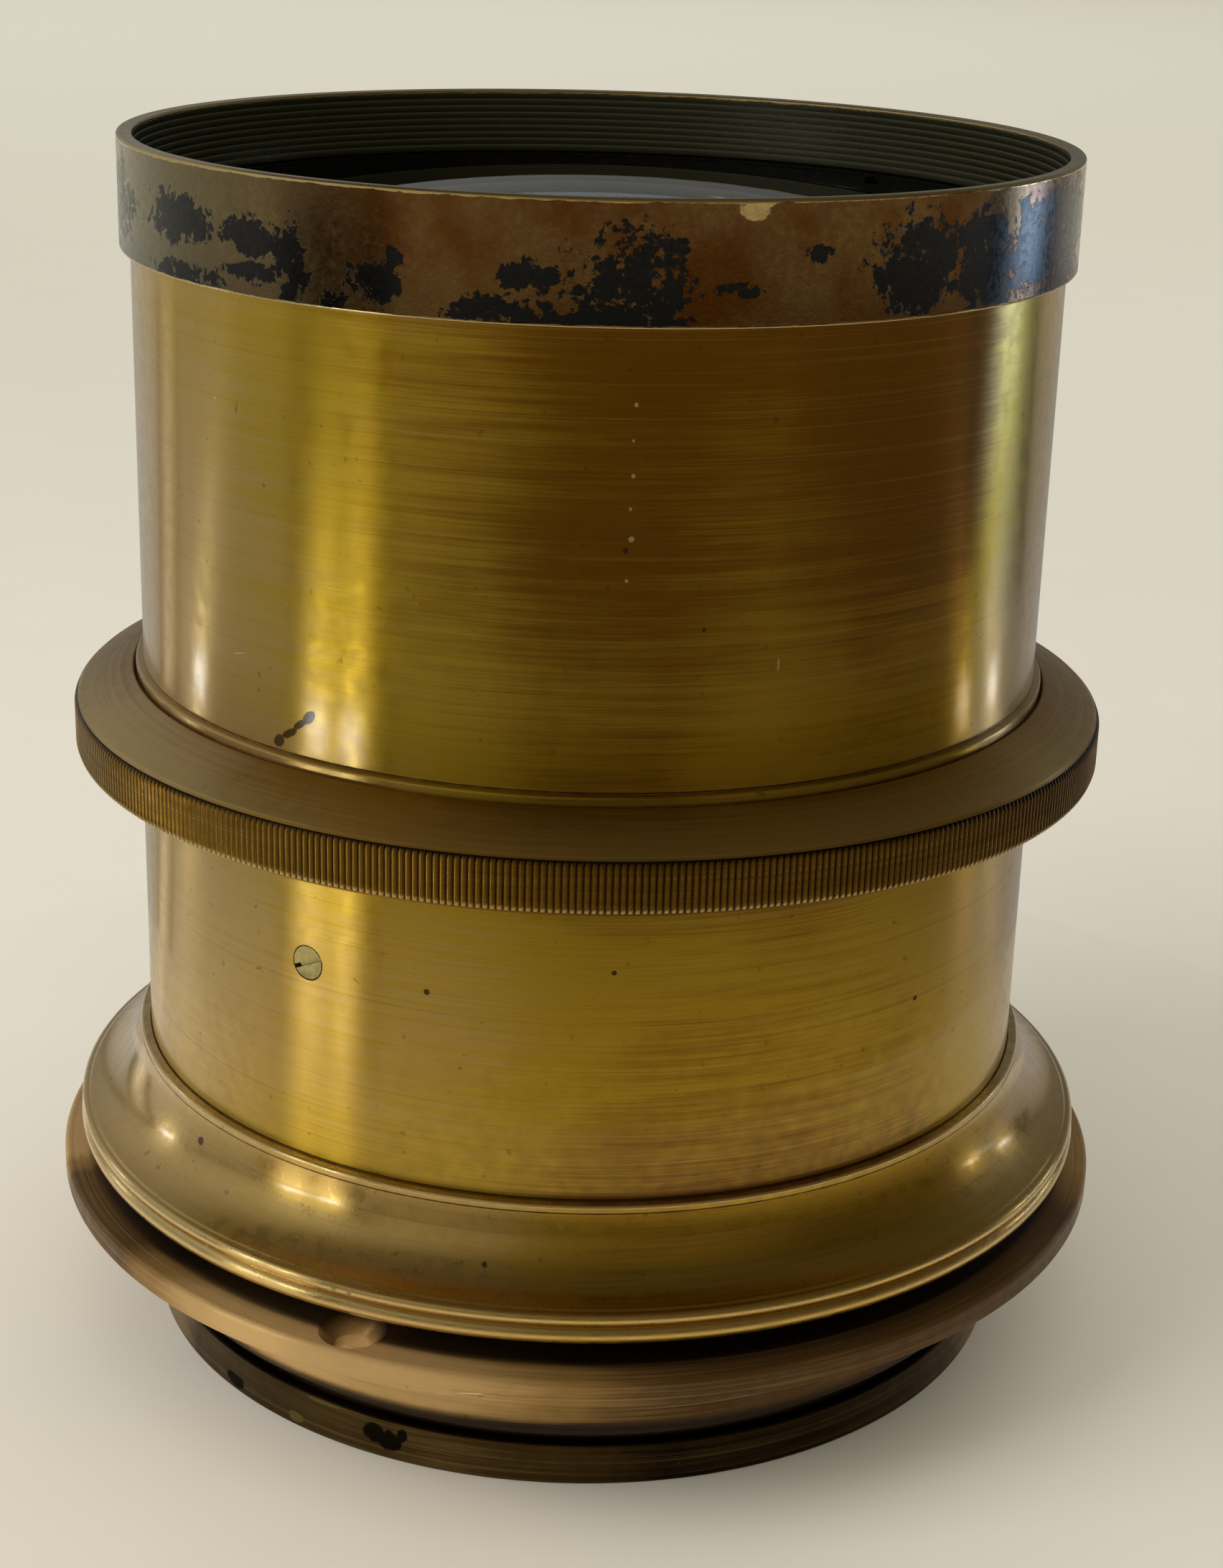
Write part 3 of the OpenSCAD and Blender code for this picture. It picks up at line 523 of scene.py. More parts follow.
BLADE_STEEL = plain_metal("blade_steel", (0.30, 0.30, 0.31), (0.16, 0.15, 0.15), 0.35)
SCREW_METAL = plain_metal("screw_metal", (0.42, 0.35, 0.16), (0.25, 0.19, 0.08), 0.3)
GLASS = lens_glass("glass", 1.5)
CROWN_GLASS = lens_glass("crown_glass", 1.05)


# Marks of use, and painted light and shade, as fields on the points


def places(piece):
    """Turn in degrees, radius and height in millimetres of a piece's points."""
    co = np.empty(len(piece.data.vertices) * 3, np.float32)
    piece.data.vertices.foreach_get("co", co)
    x, y, z = co.reshape(-1, 3).T / MM
    return np.degrees(np.arctan2(x, -y)), np.hypot(x, y), z


def add_field(piece, name, field):
    """A point attribute that holds one number for each point."""
    layer = piece.data.attributes.new(name, "FLOAT", "POINT")
    layer.data.foreach_set("value", field.astype(np.float32))


def lacquer(piece, turns, levels, above=None):
    """The patina_and_shading attribute: the level at a point's turn, read between the given turns, plus
    above(z) for a share that changes with height. The callers' levels hold patina and painted light
    and shade together."""
    turn, _, z = places(piece)
    add_field(piece, "patina_and_shading", np.interp(turn, turns, levels) + (above(z) if above else 0))


def bump_of(value, centre, half):
    """1 at the centre, 0 from half a width away on: a raised cosine."""
    return 0.5 + 0.5 * np.cos(np.clip((value - centre) / half, -1, 1) * math.pi)


def put_marks(piece, name, marks, extra=None):
    """A point attribute: the highest, over all marks, of 1 - (da / wa)^2 - (dz / wz)^2, where da
    and dz are the distances in degrees and millimetres from the mark's centre, and of
    extra(radius, height). An angle is 0 at the front and grows to the right."""
    angle, radius, z = places(piece)
    field = np.full(len(z), -1.0)
    for turn, height, half_turn, half_height in marks:
        away = (angle - turn + 180) % 360 - 180
        field = np.maximum(field, 1 - (away / half_turn) ** 2 - ((z - height) / half_height) ** 2)
    if extra:
        field = np.maximum(field, extra(radius, z))
    add_field(piece, name, field)


def dress(piece, body, slot, material, *nodes):
    """Give a piece its material and its body, and hide the nodes that it stands for. The slot is not used.
    """
    piece.data.materials.append(material)
    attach(piece, body)
    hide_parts(*nodes)
    return piece


# Pieces, from the top down


def lens_hood():
    """The hood's wall with its stepped inside: each of nine steps is 0.1 mm narrower than the last."""
    wall = 1.5
    steps = 9
    step = 0.1
    low_in = CELL_R + SEAT_GAP
    step_low = CELL_HIGH + 0.15
    pitch = (HOOD_HIGH - EDGE - step_low) / steps
    corners = [(low_in, HOOD_LOW), (HOOD_R, HOOD_LOW), (HOOD_R, HOOD_HIGH)]
    rounds = [0, 0.25, 0.3]
    for k in range(steps):
        radius = HOOD_R - wall - step * k
        top = HOOD_HIGH - 0.1 if k == 0 else HOOD_HIGH - EDGE - pitch * k
        corners += [(radius, top), (radius, HOOD_HIGH - EDGE - pitch * (k + 1))]
        rounds += [0.2 if k == 0 else 0.05, 0.03]
    corners.append((low_in, step_low))
    rounds.append(0)
    piece = turned("hood_shell", outline_of(corners, rounds, 0.4, HOOD_R - 0.2), columns=480)

    def inside(r, z):
        """1.5 on the inner wall, painted paler as lit, and 2.1 on the upper half of each of its steps, as
        painted highlights.
        """
        slope = HOOD_R - wall - step * (HOOD_HIGH - EDGE - z) / pitch
        level = np.where(r < slope + step / 2, 2.1, 1.5)
        return np.where((r < HOOD_R - wall + 0.1) & (z < HOOD_HIGH - 0.1), level, -1)

    put_marks(piece, "paint", [
        (-53, 115.9, 9.5, 2.7), (-52, 111.2, 8.5, 1.4), (-40, 115.6, 6, 2.2), (-34, 113.4, 2.8, 4.8),
        (-39, 112.4, 6, 1.2), (-29, 110.9, 2.4, 2.2), (-23.5, 113.3, 4.2, 2.3), (-21.5, 115.2, 1.6, 1.4),
        (-10, 111.4, 7, 2.0), (-7, 114.2, 4, 2.0),
        (3.5, 114.4, 8, 5.0), (1, 110.8, 10, 1.7), (14, 113.6, 3.5, 0.8), (23, 116.4, 2.2, 1.0),
        (36, 115, 9, 5.0), (46, 114.6, 8, 5.4), (55, 115, 8, 5.4), (66, 115.5, 12, 6.5),
        (100, 115.5, 25, 7), (150, 115.5, 32, 7), (205, 115.5, 28, 7), (250, 115.5, 20, 7),
        (280, 115.5, 16, 5)], inside)
    put_marks(piece, "rim", [(15.7, 119.9, 2.2, 1.1), (0, HOOD_HIGH, 4000, 0.55), (0, HOOD_LOW, 4000, 0.35)])
    return dress(piece, BODY, "worn_black_paint", HOOD_PAINT, "lens_hood")


def front_cell():
    ledge = LOCK_R - 2.0
    seat = CELL_LOW + 1.2
    outer = BORE_R - SEAT_GAP
    lock_bore = LOCK_R + SEAT_GAP
    lock_seat = LOCK_LOW - 0.1
    glass_bore = LOCK_R - 0.45
    corners = [(ledge, CELL_LOW), (outer, CELL_LOW), (outer, HOOD_LOW), (CELL_R, HOOD_LOW),
               (CELL_R, CELL_HIGH), (lock_bore, CELL_HIGH), (lock_bore, lock_seat),
               (glass_bore, lock_seat), (glass_bore, seat), (ledge, seat)]
    piece = turned("front_cell_shell", outline_of(corners, [0, 0.1, 0, 0, 0.1, 0.12, 0, 0, 0, 0.05], 20.0),
                   columns=360)
    return dress(piece, BODY, "inner_black", INNER_BLACK, "front_cell")


def front_barrel():
    foot = FRONT_LOW + SPIGOT_H
    corners = [(BORE_R, FRONT_LOW), (SPIGOT_R, FRONT_LOW), (SPIGOT_R, foot), (FOOT_R, foot),
               (FOOT_R, BARREL_FOOT), (TUBE_R, BARREL_FOOT), (TUBE_R, FRONT_HIGH), (BORE_R, FRONT_HIGH)]
    rounds = [0, 0, 0, 0.08, 0.28, 0.06, 0.12, 0.1]
    piece = turned("front_tube", outline_of(corners, rounds, 1.5, BORE_R + 0.5))
    # Partly patina, partly painted light and shade: paler at the left and the right where light falls and is
    # reflected, browner across the front, and browner towards the top.
    lacquer(piece, [-180, -110, -50, -40, -30, -22, -12, -4, 8, 20, 32, 48, 56, 75, 120, 180],
            [0.9, 0.5, 0.2, 0.5, 0.85, 1.15, 1.35, 1.75, 1.95, 1.6, 1.9, 1.75, 0.4, 0.25, 0.8, 1.0],
            lambda z: (z - 90) * 0.022)
    return dress(piece, BODY, "lacquered_brass", BARREL_BRASS, "front_barrel")


def aperture_ring():
    """Tooth k raises the ring's edge by depth * shape(k) over the knurled band, where shape is
    0, 1, 1 over the three columns of a tooth, and the rise fades to nothing near both ends of
    the band."""
    teeth = 520
    depth = 0.3
    root = RING_R - depth
    low_band = RING_LOW + EDGE
    high_band = low_band + 4.8
    seat = TUBE_R + SEAT_GAP
    neck = FOOT_R + 0.25
    seat_high = RING_HIGH - 0.95
    corners = [(seat, RING_LOW), (root - EDGE, RING_LOW), (root, low_band), (root, high_band),
               (root - EDGE, high_band + EDGE), (neck, RING_HIGH), (neck, seat_high), (seat, seat_high)]
    outline = outline_of(corners, [0, 0.05, 0.06, 0.06, 0.12, 0.15, 0, 0], 0.45, root - EDGE)
    tooth = [0.0, 1.0, 1.0]
    columns = teeth * len(tooth)
    points = turn_points(outline, columns)
    z = outline[:, 1]
    fade = np.clip((z - low_band) / 0.12, 0, 1) * np.clip((high_band - z) / 0.2, 0, 1)
    fade = fade * (outline[:, 0] > root - 0.05)
    rise = depth * fade[:, None] * np.tile(tooth, teeth)
    a = np.arange(columns) * 2 * math.pi / columns
    points[..., 0] += rise * np.cos(a)
    points[..., 1] += rise * np.sin(a)
    screw_low, screw_high, _ = span("drive_screw")
    screw_z = (screw_low + screw_high) / 2
    patch = 1.7
    low, high = row_at(outline, root, screw_z - patch), row_at(outline, root, screw_z + patch)
    rings = [(1.36, 0.25), (1.32, 0.25), (1.25, 0.33), (1.25, 3), (0, 3)]
    hole = WallHole(columns // 4, 12, low, high, rings).set(math.pi / 2, RING_R, screw_z)
    piece = turned("knurled_ring", outline, columns, [hole], points)
    turn, radius, z = places(piece)
    # Partly patina, partly painted light and shade: paler at the left where light falls, browner at the
    # front and the right.
    side = np.interp(turn, [-180, -120, -60, -45, -30, -15, 0, 30, 50, 70, 120, 180],
                     [1.2, 0.6, 0.0, 0.0, 0.5, 1.0, 1.2, 1.2, 0.8, 0.7, 1.0, 1.2])
    side_band = np.interp(turn, [-180, -100, -68, -45, -30, 0, 30, 50, 180],
                          [1.2, 0.5, 0.6, 1.6, 1.2, 1.5, 1.7, 2.1, 2.0])
    band = (radius > root - 0.1) & (z > low_band) & (z < high_band)
    # Painted shade in the knurl's roots.
    recess_shade = band & (radius < root + 0.1)
    tip = 1.0 * (band & (z < low_band + 0.35) & ~recess_shade)
    # A lighter line along the ring's upper edge: rubbed metal with a painted highlight.
    rim = np.clip(1 - np.abs(z - high_band - 0.35) / 0.45, 0, 1)
    add_field(piece, "recess_shade", 1.0 * recess_shade)
    add_field(piece, "patina_and_shading", np.where(band, side_band, side + 0.4 - 0.4 * rim))
    add_field(piece, "tip", np.maximum(tip, 0.35 * rim))
    return dress(piece, RING_BODY, "patinated_brass", RING_BRASS, "aperture_ring")


def rear_barrel():
    bore = BORE_R - 0.5
    thread = bore + 1.3
    step = SHOULDER_HIGH - 0.45
    seat_z = RING_LOW - 0.1
    iris_z = span("iris_housing")[0] - SEAT_GAP
    seat_r = SPIGOT_R + SEAT_GAP
    spigot_z = REAR_HIGH - 2.2
    corners = [(bore, REAR_LOW), (thread, REAR_LOW), (thread, step), (REAR_R, step), (REAR_R, seat_z),
               (TUBE_R, seat_z), (TUBE_R, REAR_HIGH), (seat_r, REAR_HIGH), (seat_r, spigot_z),
               (BORE_R, spigot_z), (BORE_R, iris_z), (bore, iris_z)]
    outline = outline_of(corners, [0, 0.1, 0, 0.05, 0.1, 0, 0, 0, 0, 0.1, 0, 0.1], 0.7, TUBE_R + 0.1)
    screw_z = SHOULDER_HIGH + 19.7
    screw_turn = 236.5
    patch = 2.6
    low, high = row_at(outline, REAR_R, screw_z - patch), row_at(outline, REAR_R, screw_z + patch)
    rings = [(1.79, 0), (1.75, 0), (1.67, 0.05), (1.65, 0.25), (1.05, 0.85), (1.05, 1.2), (0, 1.2)]
    holes = []
    for turn in (screw_turn, screw_turn - 180):
        hole = WallHole(round(turn * COLUMNS / 360), 7, low, high, rings)
        holes.append(hole.set(math.radians(turn), REAR_R, screw_z))
    piece = turned("rear_tube", outline, holes=holes)
    # Partly patina, partly painted light and shade: paler at the left and the right where light falls and is
    # reflected, browner across the front; also browner just under the ring and near the shoulder.
    lacquer(piece, [-180, -110, -50, -30, -8, 2, 28, 44, 52, 80, 120, 180],
            [0.9, 0.4, 0.15, 0.6, 0.85, 1.1, 1.2, 1.1, 0.5, 0.15, 0.7, 0.9],
            lambda z: 1.1 * np.exp((z - RING_LOW) / 2.5) + 0.45 * np.exp((SHOULDER_HIGH - z) / 8))
    _, radius, z = places(piece)
    # Painted shade: near black in the screws' counterbores and on the tube below the flange.
    counterbore_shade = (np.abs(z - screw_z) < 2) & (radius < REAR_R - 0.03) & (radius > REAR_R - 1.3)
    add_field(piece, "recess_shade", np.maximum(0.85 * counterbore_shade, 0.95 * (z < FLANGE_LOW + 0.3)))
    return dress(piece, BODY, "lacquered_brass", BARREL_BRASS, "rear_barrel")


def shoulder_ring():
    """Two beads, a hollow cove and a lip. The cove is the arc of radius size through its lower and
    upper edge, centred at back = sqrt(size^2 - half^2) out and up from the middle of their chord."""
    lip = REAR_R + 1.05
    bore = REAR_R + SEAT_GAP
    bead_low = FLANGE_HIGH + 2.5
    bead_h = 3.2
    bead_high = bead_low + bead_h
    cove_top, cove_low = SHOULDER_HIGH - 0.7, bead_high + 0.1
    cove_out = BEAD_R - 0.9
    size = (cove_top - cove_low) * 1.15
    chord = np.array([cove_out - lip, cove_top - cove_low])
    half = np.linalg.norm(chord) / 2
    tilt = math.atan2(chord[1], chord[0])
    back = math.sqrt(size**2 - half**2)
    centre = np.array([(cove_out + lip) / 2, (cove_top + cove_low) / 2])
    centre = centre + back * np.array([math.sin(tilt), math.cos(tilt)])
    start = math.atan2(cove_low - centre[1], cove_out - centre[0])
    end = math.atan2(cove_top - centre[1], lip - centre[0])
    if end > 0:
        end -= 2 * math.pi

    def arc(r, z, radius, first, last, count):
        t = np.linspace(first, last, count)
        return np.stack([r + radius * np.cos(t), z + radius * np.sin(t)], axis=-1)

    low_h, top_h = bead_h * 0.6, bead_h * 0.4
    beads = [arc(BEAD_R - low_h / 2, bead_low + low_h / 2, low_h / 2, -math.pi / 2, math.radians(75), 14),
             arc(BEAD_R - 0.1 - top_h / 2, bead_low + low_h + top_h / 2, top_h / 2, math.radians(-60),
                 math.radians(100), 11)]
    cove = arc(centre[0], centre[1], size, start, end, 40)
    inner = REAR_R - 1.05
    skirt = inner + 0.9
    step = SHOULDER_HIGH - 0.5
    lips = outline_of([(lip, cove_top), (lip, SHOULDER_HIGH), (bore, SHOULDER_HIGH), (bore, cove_top)],
                      [0, 0.25, 0.1, 0], 3.0)
    inside = np.array([(bore, step), (inner, step), (inner, SHOULDER_LOW), (skirt - EDGE, SHOULDER_LOW),
                       (skirt, SHOULDER_LOW + EDGE), (skirt, bead_low)])
    outline = np.vstack(beads + [cove, lips[1:-1], inside])
    points = turn_points(outline, COLUMNS).reshape(-1, 3)
    piece = make_mesh("cove_ring", points, grid_quads(COLUMNS, len(outline)).reshape(-1, 4))
    # Partly patina, partly painted light and shade: paler at the left and the right where light falls and is
    # reflected, browner across the front.
    lacquer(piece, [-180, -110, -60, -30, -8, 2, 28, 44, 52, 80, 120, 180],
            [0.9, 0.4, 0.0, 0.3, 0.5, 1.1, 1.1, 0.9, 0.3, 0.3, 0.7, 0.9])
    turn, radius, z = places(piece)
    # Light metal on the bead's crest: rubbed all round, with painted highlights at turns -50 and 48.
    crest_rub_and_highlight = 0.5 + 0.4 * bump_of(turn, -50, 25) + 0.4 * bump_of(turn, 48, 15)
    add_field(piece, "tip", crest_rub_and_highlight * np.clip((radius - BEAD_R + 0.5) / 0.3, 0, 1) * (z > bead_low + 0.9))
    return dress(piece, BODY, "turned_brass", SHOULDER_BRASS, "shoulder_ring")


def mounting_flange():
    inner = REAR_R - 0.1
    collar = 47.0
    thick = 2.6
    plate = FLANGE_HIGH - thick
    corners = [(inner, FLANGE_LOW), (collar - 0.8, FLANGE_LOW), (collar, FLANGE_LOW + 0.9), (collar, plate),
               (FLANGE_R, plate), (FLANGE_R, FLANGE_HIGH), (inner, FLANGE_HIGH)]
    outline = outline_of(corners, [0, 0.1, 0.3, 0.1, 0.45, 0.5, 0.05], 0.5, inner + 0.1)
    circle, sink, bore = 50.9, 3.15, 1.7
    rows = 14
    far, back = row_at(outline, circle + sink + 0.2, FLANGE_HIGH), row_at(outline, collar + 0.4, plate)
    cone = sink - bore
    rings = [(sink + 0.12, 0), (sink + 0.06, 0), (sink, 0.03), (bore + 0.03, cone - 0.03),
             (bore, cone + 0.05), (bore, thick - 0.1), (bore + 0.08, thick)]
    first = 246.5
    holes = []
    for turn in (first, first - 120, first - 240):
        hole = FaceHole(round(turn * COLUMNS / 360), 8, far, far + rows, rings, (back + rows, back))
        holes.append(hole.set(math.radians(turn), circle, FLANGE_HIGH))
    piece = turned("flange_plate", outline, holes=holes)
    turn, radius, z = places(piece)
    # Partly patina, partly painted light and shade: a painted shadow at turns -71 to -54, paler where light
    # falls at -40 to -15 and near 78, browner across the front and the right.
    side = np.interp(turn, [-180, -100, -77, -71, -54, -46, -40, -15, -5, 5, 15, 66, 78, 100, 180],
                     [1.0, 0.4, 0.1, 2.0, 2.0, 0.9, 0.0, 0.2, 0.8, 1.5, 1.75, 1.8, 0.5, 0.8, 1.0])
    # Painted shadow: the plate's top under the bead's overhang goes near black.
    under = np.where(z > FLANGE_HIGH - 0.2, np.clip((52.3 - radius) / 0.8, 0, 1), 0)
    # Painted shade: the collar's foot goes near black.
    foot = np.where(radius < collar + 0.1, np.clip((FLANGE_LOW + 1.6 - z) / 0.8, 0, 1), 0)
    add_field(piece, "patina_and_shading", side + 0.8 * under + 1.5 * foot)
    add_field(piece, "recess_shade", np.maximum(0.93 * under, 0.9 * foot))
    return dress(piece, BODY, "flange_brass", FLANGE_BRASS, "mounting_flange")


def rear_cell():
    rim_h = 4.4
    spigot = BORE_R - 0.55
    lock = 41.9
    lock_bore = lock + SEAT_GAP
    lock_low, lock_high = 3.4, 5.9
    ledge, glass_bore = 40.2, 41.45
    seat = REAR_CELL_HIGH - 1.2
    corners = [(lock + 1.6, 0), (RIM_R, 0), (RIM_R, rim_h), (spigot, rim_h), (spigot, REAR_CELL_HIGH),
               (ledge, REAR_CELL_HIGH), (ledge, seat), (glass_bore, seat), (glass_bore, lock_high),
               (lock_bore, lock_high), (lock_bore, lock_low)]
    outline = outline_of(corners, [0.2, 0.3, 0.3, 0, 0.1, 0, 0, 0, 0, 0, 0.2], 0.8, RIM_R - 1)
    piece = turned("rear_cell_shell", outline, columns=360)
    # Partly patina, partly painted light and shade: paler at the left and the right where light falls,
    # browner at the front and just right of it.
    lacquer(piece, [-180, -120, -80, -64, -58, -40, -15, 0, 12, 40, 58, 66, 80, 120, 180],
            [1.0, 0.6, 0.0, 0.2, 1.0, 1.0, 1.0, 1.1, 1.7, 1.6, 1.1, 0.3, 0.3, 0.7, 1.0])
    _, radius, z = places(piece)
    # Painted shade: near black on the rim's top and the spigot, under the flange.
    add_field(piece, "recess_shade", 0.95 * np.clip((z - rim_h + 0.35) / 0.2, 0, 1) * (radius > spigot - 0.1))
    return dress(piece, BODY, "rear_black", REAR_BLACK, "rear_cell")


def glasses():
    """Front and rear cemented pairs: each crown nests into the hollow of its flint. The rear pair is
    the front pair's form turned over, so its height is negated and its faces are reversed."""
    outer, cement, inner = 200.0, 120.0, 260.0
    flint_t, crown_t = 2.5, 7.0
    _, front_high, front_r = span("front_flint_glass")
    rear_low, _, rear_r = span("rear_flint_glass")
    pairs = [("front", front_high, 1, front_r), ("rear", rear_low, -1, rear_r)]
    for end, vertex, way, radius in pairs:
        for kind, top, top_curve, bottom, bottom_curve, material in (
                ("flint", 0, outer, -flint_t, cement, GLASS),
                ("crown", -flint_t - 0.02, cement, -flint_t - crown_t, inner, CROWN_GLASS)):
            outline, quads = glass_disc(radius, top, top_curve, bottom, bottom_curve)
            points = turn_points(outline, GLASS_COLUMNS).reshape(-1, 3) * (1, 1, way) + (0, 0, vertex)
            quads = quads.reshape(-1, 4)[:, ::way]
            piece = make_mesh(f"{end}_{kind}_lens", points, quads)
            dress(piece, BODY, "glass", material, f"{end}_{kind}_glass")


glasses()
lens_hood()
front_cell()
front_barrel()
aperture_ring()
rear_barrel()
shoulder_ring()
mounting_flange()
rear_cell()

NODE_FINISH = {
    "front_retaining_ring": INNER_BLACK, "rear_retaining_ring": INNER_BLACK,
    "iris_retaining_ring": INNER_BLACK, "iris_drive_ring": INNER_BLACK, "iris_housing": INNER_BLACK,
    "drive_screw": SCREW_METAL, "barrel_screws": SCREW_METAL}
for name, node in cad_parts.items():
    finish = BLADE_STEEL if name.startswith("iris_blade") else NODE_FINISH.get(name)
    if finish:
        node.data.materials.clear()
        node.data.materials.append(finish)


# Floor, light and camera


def stage():
    """A square floor of four points, which reaches 3 m each way from the lens."""
    reach = 3.0
    corners = [(-reach, -reach, 0), (reach, -reach, 0), (reach, reach, 0), (-reach, reach, 0)]
    mesh = bpy.data.meshes.new("floor")
    mesh.from_pydata(corners, [], [(0, 1, 2, 3)])
    floor = bpy.data.objects.new("floor", mesh)
    bpy.context.scene.collection.objects.link(floor)
    mesh.materials.append(floor_finish())


def lamp(name, place, aim, size, power, colour):
    """A soft area light that neither the camera nor polished surfaces see."""
    light = bpy.data.lights.new(name, "AREA")
    light.shape = "RECTANGLE"
    light.size, light.size_y = size
    light.energy = power
    light.color = colour
    holder = bpy.data.objects.new(name, light)
    holder.location = place
    holder.rotation_euler = (Vector(aim) - Vector(place)).to_track_quat("-Z", "Y").to_euler()
    holder.visible_camera = holder.visible_glossy = False
    bpy.context.scene.collection.objects.link(holder)


def tint(turn):
    """Light's colour by turn: cool from the left and the right, warm and brown from the front."""
    turns = [-180, -70, -15, 5, 90, 112, 180]
    green = np.interp(turn, turns, [1.00, 1.00, 0.90, 0.80, 0.80, 0.97, 1.00])
    blue = np.interp(turn, turns, [0.95, 0.95, 0.65, 0.50, 0.50, 0.95, 0.95])
    return np.stack([np.ones_like(green), green, blue, np.ones_like(green)], axis=-1)


def reflector(name, turns, path, glow, colour=(1, 1, 1, 1)):
    """A curved sheet round the lens that only polished surfaces see. Point (turn, t) lies at
    (R sin turn, -R cos turn, z), where (R, z) runs straight from path[0] to path[1] as t goes from
    0 to 1; glow(turn, t) gives its light, with turn in degrees, in the room's tint."""
    across, along = 145, 13
    turn, t = np.meshgrid(np.linspace(*turns, across), np.linspace(0, 1, along))
    a = np.radians(turn)
    (near, low), (far, high) = path
    radius = near + (far - near) * t
    points = np.stack([radius * np.sin(a), -radius * np.cos(a), low + (high - low) * t], axis=-1)
    i, j = np.meshgrid(np.arange(across - 1), np.arange(along - 1))
    corner = (j * across + i).reshape(-1)
    quads = np.stack([corner, corner + 1, corner + across + 1, corner + across], axis=-1)
    sheet = make_mesh(name, points.reshape(-1, 3), quads, weld=False)
    light = glow(turn, t)[..., None] * tint(turn) * colour
    layer = sheet.data.attributes.new("glow", "FLOAT_COLOR", "POINT")
    layer.data.foreach_set("color", light.astype(np.float32).reshape(-1))
    material = bpy.data.materials.new(name)
    material.use_nodes = True
    tree = material.node_tree
    tree.nodes.clear()
    read = tree.nodes.new("ShaderNodeAttribute")
    read.attribute_name = "glow"
    shine = tree.nodes.new("ShaderNodeEmission")
    tree.links.new(read.outputs["Color"], shine.inputs["Color"])
    tree.links.new(shine.outputs[0], tree.nodes.new("ShaderNodeOutputMaterial").inputs["Surface"])
    sheet.data.materials.append(material)
    sheet.visible_camera = sheet.visible_diffuse = sheet.visible_shadow = False
    sheet.visible_transmission = sheet.visible_volume_scatter = False


def dish_glow(turn, t):
    """Soft reflector: pale behind and to the left, dim where the viewer stands, paler near the lens."""
    turns = [-180, -150, -128, -118, -108, -88, -66, -50, -33, -20, -10, 0, 20, 44, 70, 104,
             116, 128, 147, 180]
    far = [0.45, 0.45, 0.42, 0.50, 0.26, 0.22, 0.30, 0.24, 0.17, 0.10, 0.04, 0.02, 0.02, 0.04, 0.04, 0.07,
           0.22, 0.24, 0.30, 0.45]
    near = [0.48, 0.51, 0.52, 0.57, 0.52, 0.42, 0.36, 0.31, 0.26, 0.22, 0.17, 0.16, 0.18, 0.20, 0.18, 0.20,
            0.28, 0.34, 0.40, 0.48]
    outside, inside = np.interp(turn, turns, far), np.interp(turn, turns, near)
    return outside + (inside - outside) * np.exp(-((t / 0.72) ** 4))


def left_panes(turn, t):
    """Two tall panes of the left window, which fade out upwards."""
    panes = bump_of(turn, -58 - 7 * t, 6 + 3 * t) + 1.2 * bump_of(turn, -50, 4)
    return 1.6 * panes * (0.1 + 0.9 * bump_of(t, 0.1, 0.62))


def left_edge(turn, t):
    """Narrow streak far round to the left, a little dimmer further out."""
    return 1.2 * bump_of(turn, -119, 6) * (1 - 0.3 * t)


def right_light(turn, t):
    """Cool window seen in the right wall; its turn grows outwards, as the lens is not a point."""
    level = 2.2 * np.clip((t - 0.12) / 0.2, 0, 1) + 4.5 * np.clip((t - 0.45) / 0.15, 0, 1)
    return level * bump_of(turn, 101 + 15 * t, 9)


def low_windows(turn, t):
    """The windows as the cove sees them: one spot and two panes at the left, two spots at the right."""
    left = 13.0 * bump_of(turn, -96.5, 4) + 21.0 * (bump_of(turn, -58, 4.5) + bump_of(turn, -49.5, 4.5))
    return (left + 9.0 * bump_of(turn, 91, 4) + 9.0 * bump_of(turn, 104, 4)) * bump_of(t, 0.5, 0.7)


def high_wall(turn, t):
    """The room above the lens, palest at the left."""
    turns = [-180, -130, -70, -30, 0, 30, 60, 90, 130, 180]
    level = np.interp(turn, turns, [0.16, 0.46, 0.60, 0.45, 0.24, 0.20, 0.09, 0.10, 0.16, 0.16])
    return level * (1 - 0.5 * t)


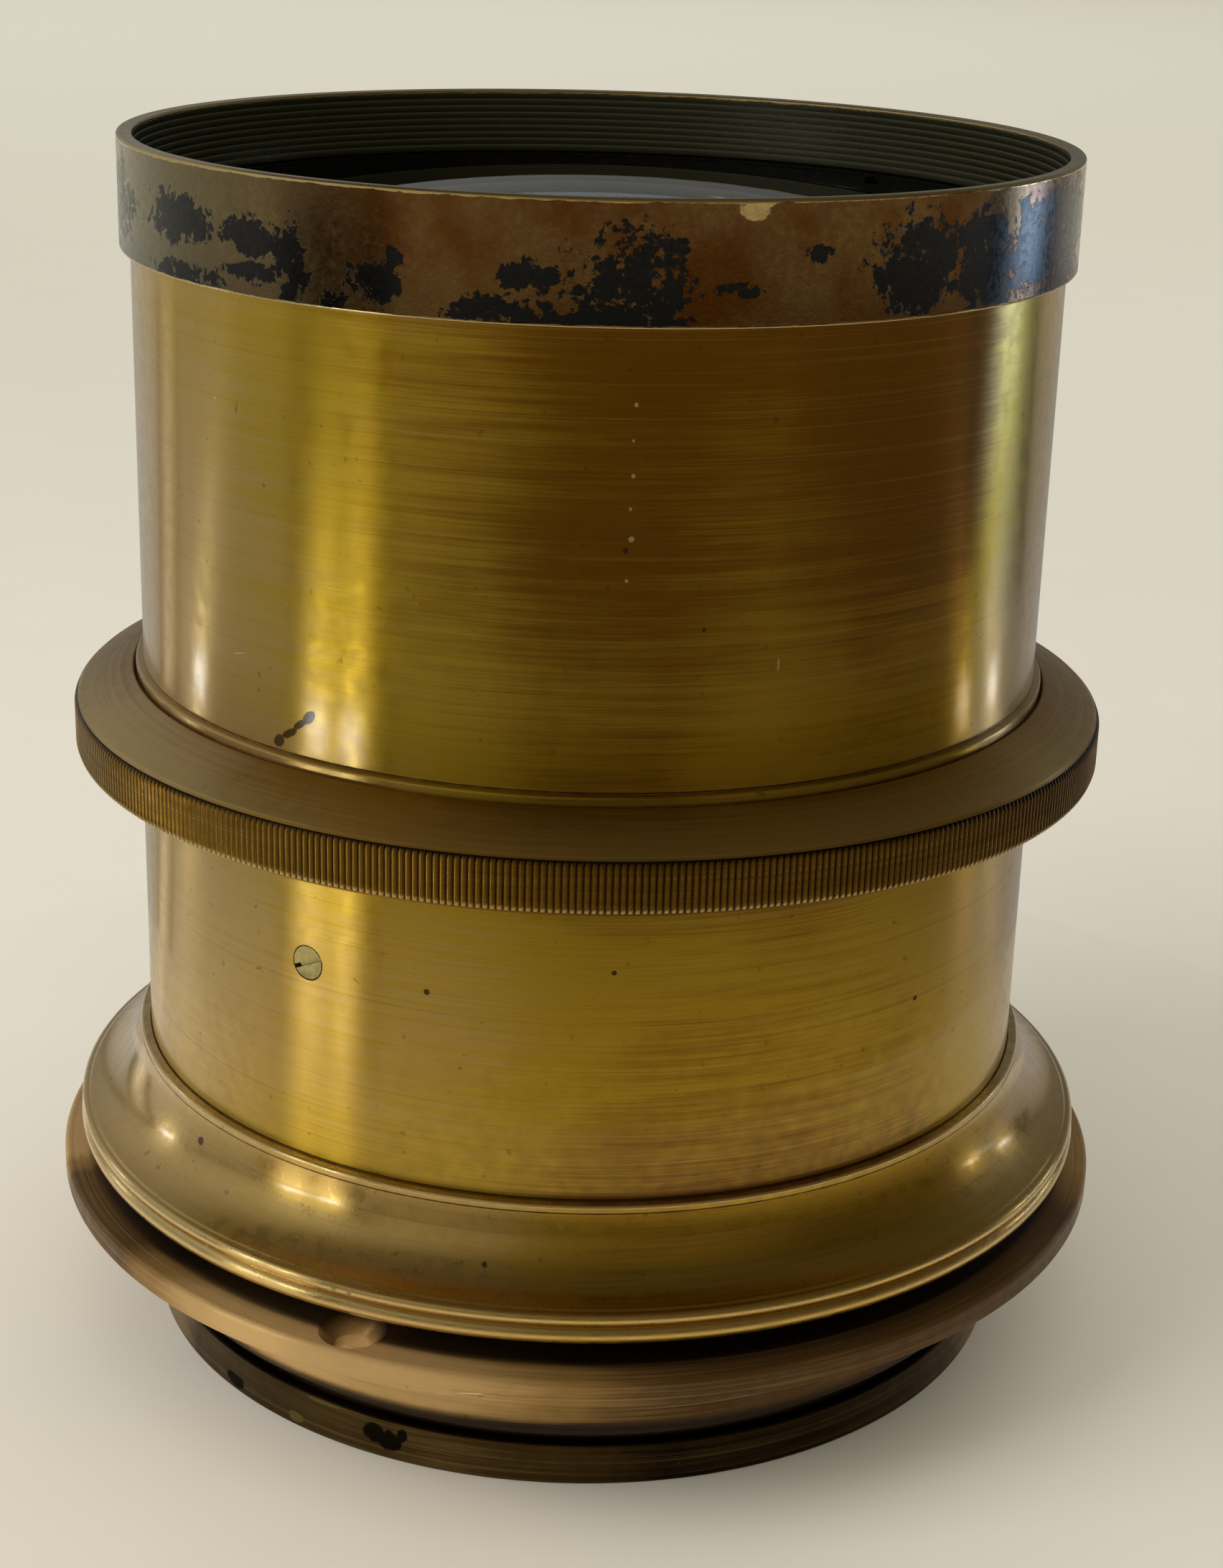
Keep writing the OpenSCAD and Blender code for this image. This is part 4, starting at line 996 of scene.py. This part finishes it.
def room():
    """The world: seen as a warm pale wall, and lighting the lens softly from all round. Polished
    surfaces see little of it, as they have the reflectors."""
    seen, soft, polished = 1.0, 0.95, 0.84
    world = bpy.data.worlds.new("room")
    world.use_nodes = True
    bpy.context.scene.world = world
    tree = world.node_tree
    path = tree.nodes.new("ShaderNodeLightPath")
    strength = tree.nodes.new("ShaderNodeMapRange")
    strength.inputs[3].default_value = soft
    strength.inputs[4].default_value = seen
    tree.links.new(path.outputs["Is Camera Ray"], strength.inputs[0])
    glossy = tree.nodes.new("ShaderNodeMath")
    glossy.operation = "MULTIPLY"
    glossy.inputs[1].default_value = polished
    tree.links.new(path.outputs["Is Glossy Ray"], glossy.inputs[0])
    level = tree.nodes.new("ShaderNodeMath")
    level.operation = "SUBTRACT"
    tree.links.new(strength.outputs[0], level.inputs[0])
    tree.links.new(glossy.outputs[0], level.inputs[1])
    shade = tree.nodes["Background"]
    shade.inputs["Color"].default_value = (0.73, 0.68, 0.54, 1)
    tree.links.new(level.outputs[0], shade.inputs["Strength"])


def camera():
    """The viewer's place in millimetres and way of looking in radians, worked out from the lens's
    own ellipses in the view."""
    place = Vector((0.0, -263.42, 148.99)) * MM
    pitch, yaw, roll = 0.3435, 0.0101, 0.0286
    ahead = Vector((math.sin(yaw) * math.cos(pitch), math.cos(yaw) * math.cos(pitch), -math.sin(pitch)))
    right = Vector((math.cos(yaw), -math.sin(yaw), 0.0))
    up = right.cross(ahead)
    side = math.cos(roll) * right + math.sin(roll) * up
    top = math.cos(roll) * up - math.sin(roll) * right
    view = bpy.data.cameras.new("view")
    view.sensor_fit = "VERTICAL"
    view.sensor_height = 36.0
    view.lens = 61.62
    view.clip_start = 0.01
    holder = bpy.data.objects.new("view", view)
    turn = Matrix((side, top, -ahead)).transposed()
    holder.matrix_world = Matrix.Translation(place) @ turn.to_4x4()
    bpy.context.scene.collection.objects.link(holder)
    bpy.context.scene.camera = holder


stage()
room()
reflector("soft_dish", (-180, 180), ((120, 0), (320, 66)), dish_glow)
reflector("left_panes", (-68, -42), ((119, 3), (200, 99)), left_panes, (1, 0.95, 0.75, 1))
reflector("left_edge_streak", (-126, -112), ((119, 2), (300, 62)), left_edge, (1, 0.95, 0.8, 1))
reflector("right_light", (94, 126), ((205, 31), (420, 102)), right_light, (0.66, 0.95, 1.40, 1))
reflector("low_windows", (-101, 111), ((129, 38.5), (131, 46)), low_windows, (0.92, 1.0, 1.15, 1))
reflector("high_wall", (-180, 180), ((450, 120), (450, 480)), high_wall)
lamp("left_soft", (-0.6, -0.3, 0.5), (0, 0, 0.05), (0.5, 0.5), 3.6, (1.0, 0.97, 0.92))
lamp("right_soft", (0.5, 0.5, 0.5), (0, 0, 0.05), (0.4, 0.4), 0.6, (0.95, 0.98, 1.0))
lamp("back_soft", (-0.6, 1.9, 1.2), (-0.6, 1.9, 0), (3.0, 1.6), 6.5, (0.95, 1.04, 1.27))
camera()
bpy.context.scene.view_settings.view_transform = "Standard"
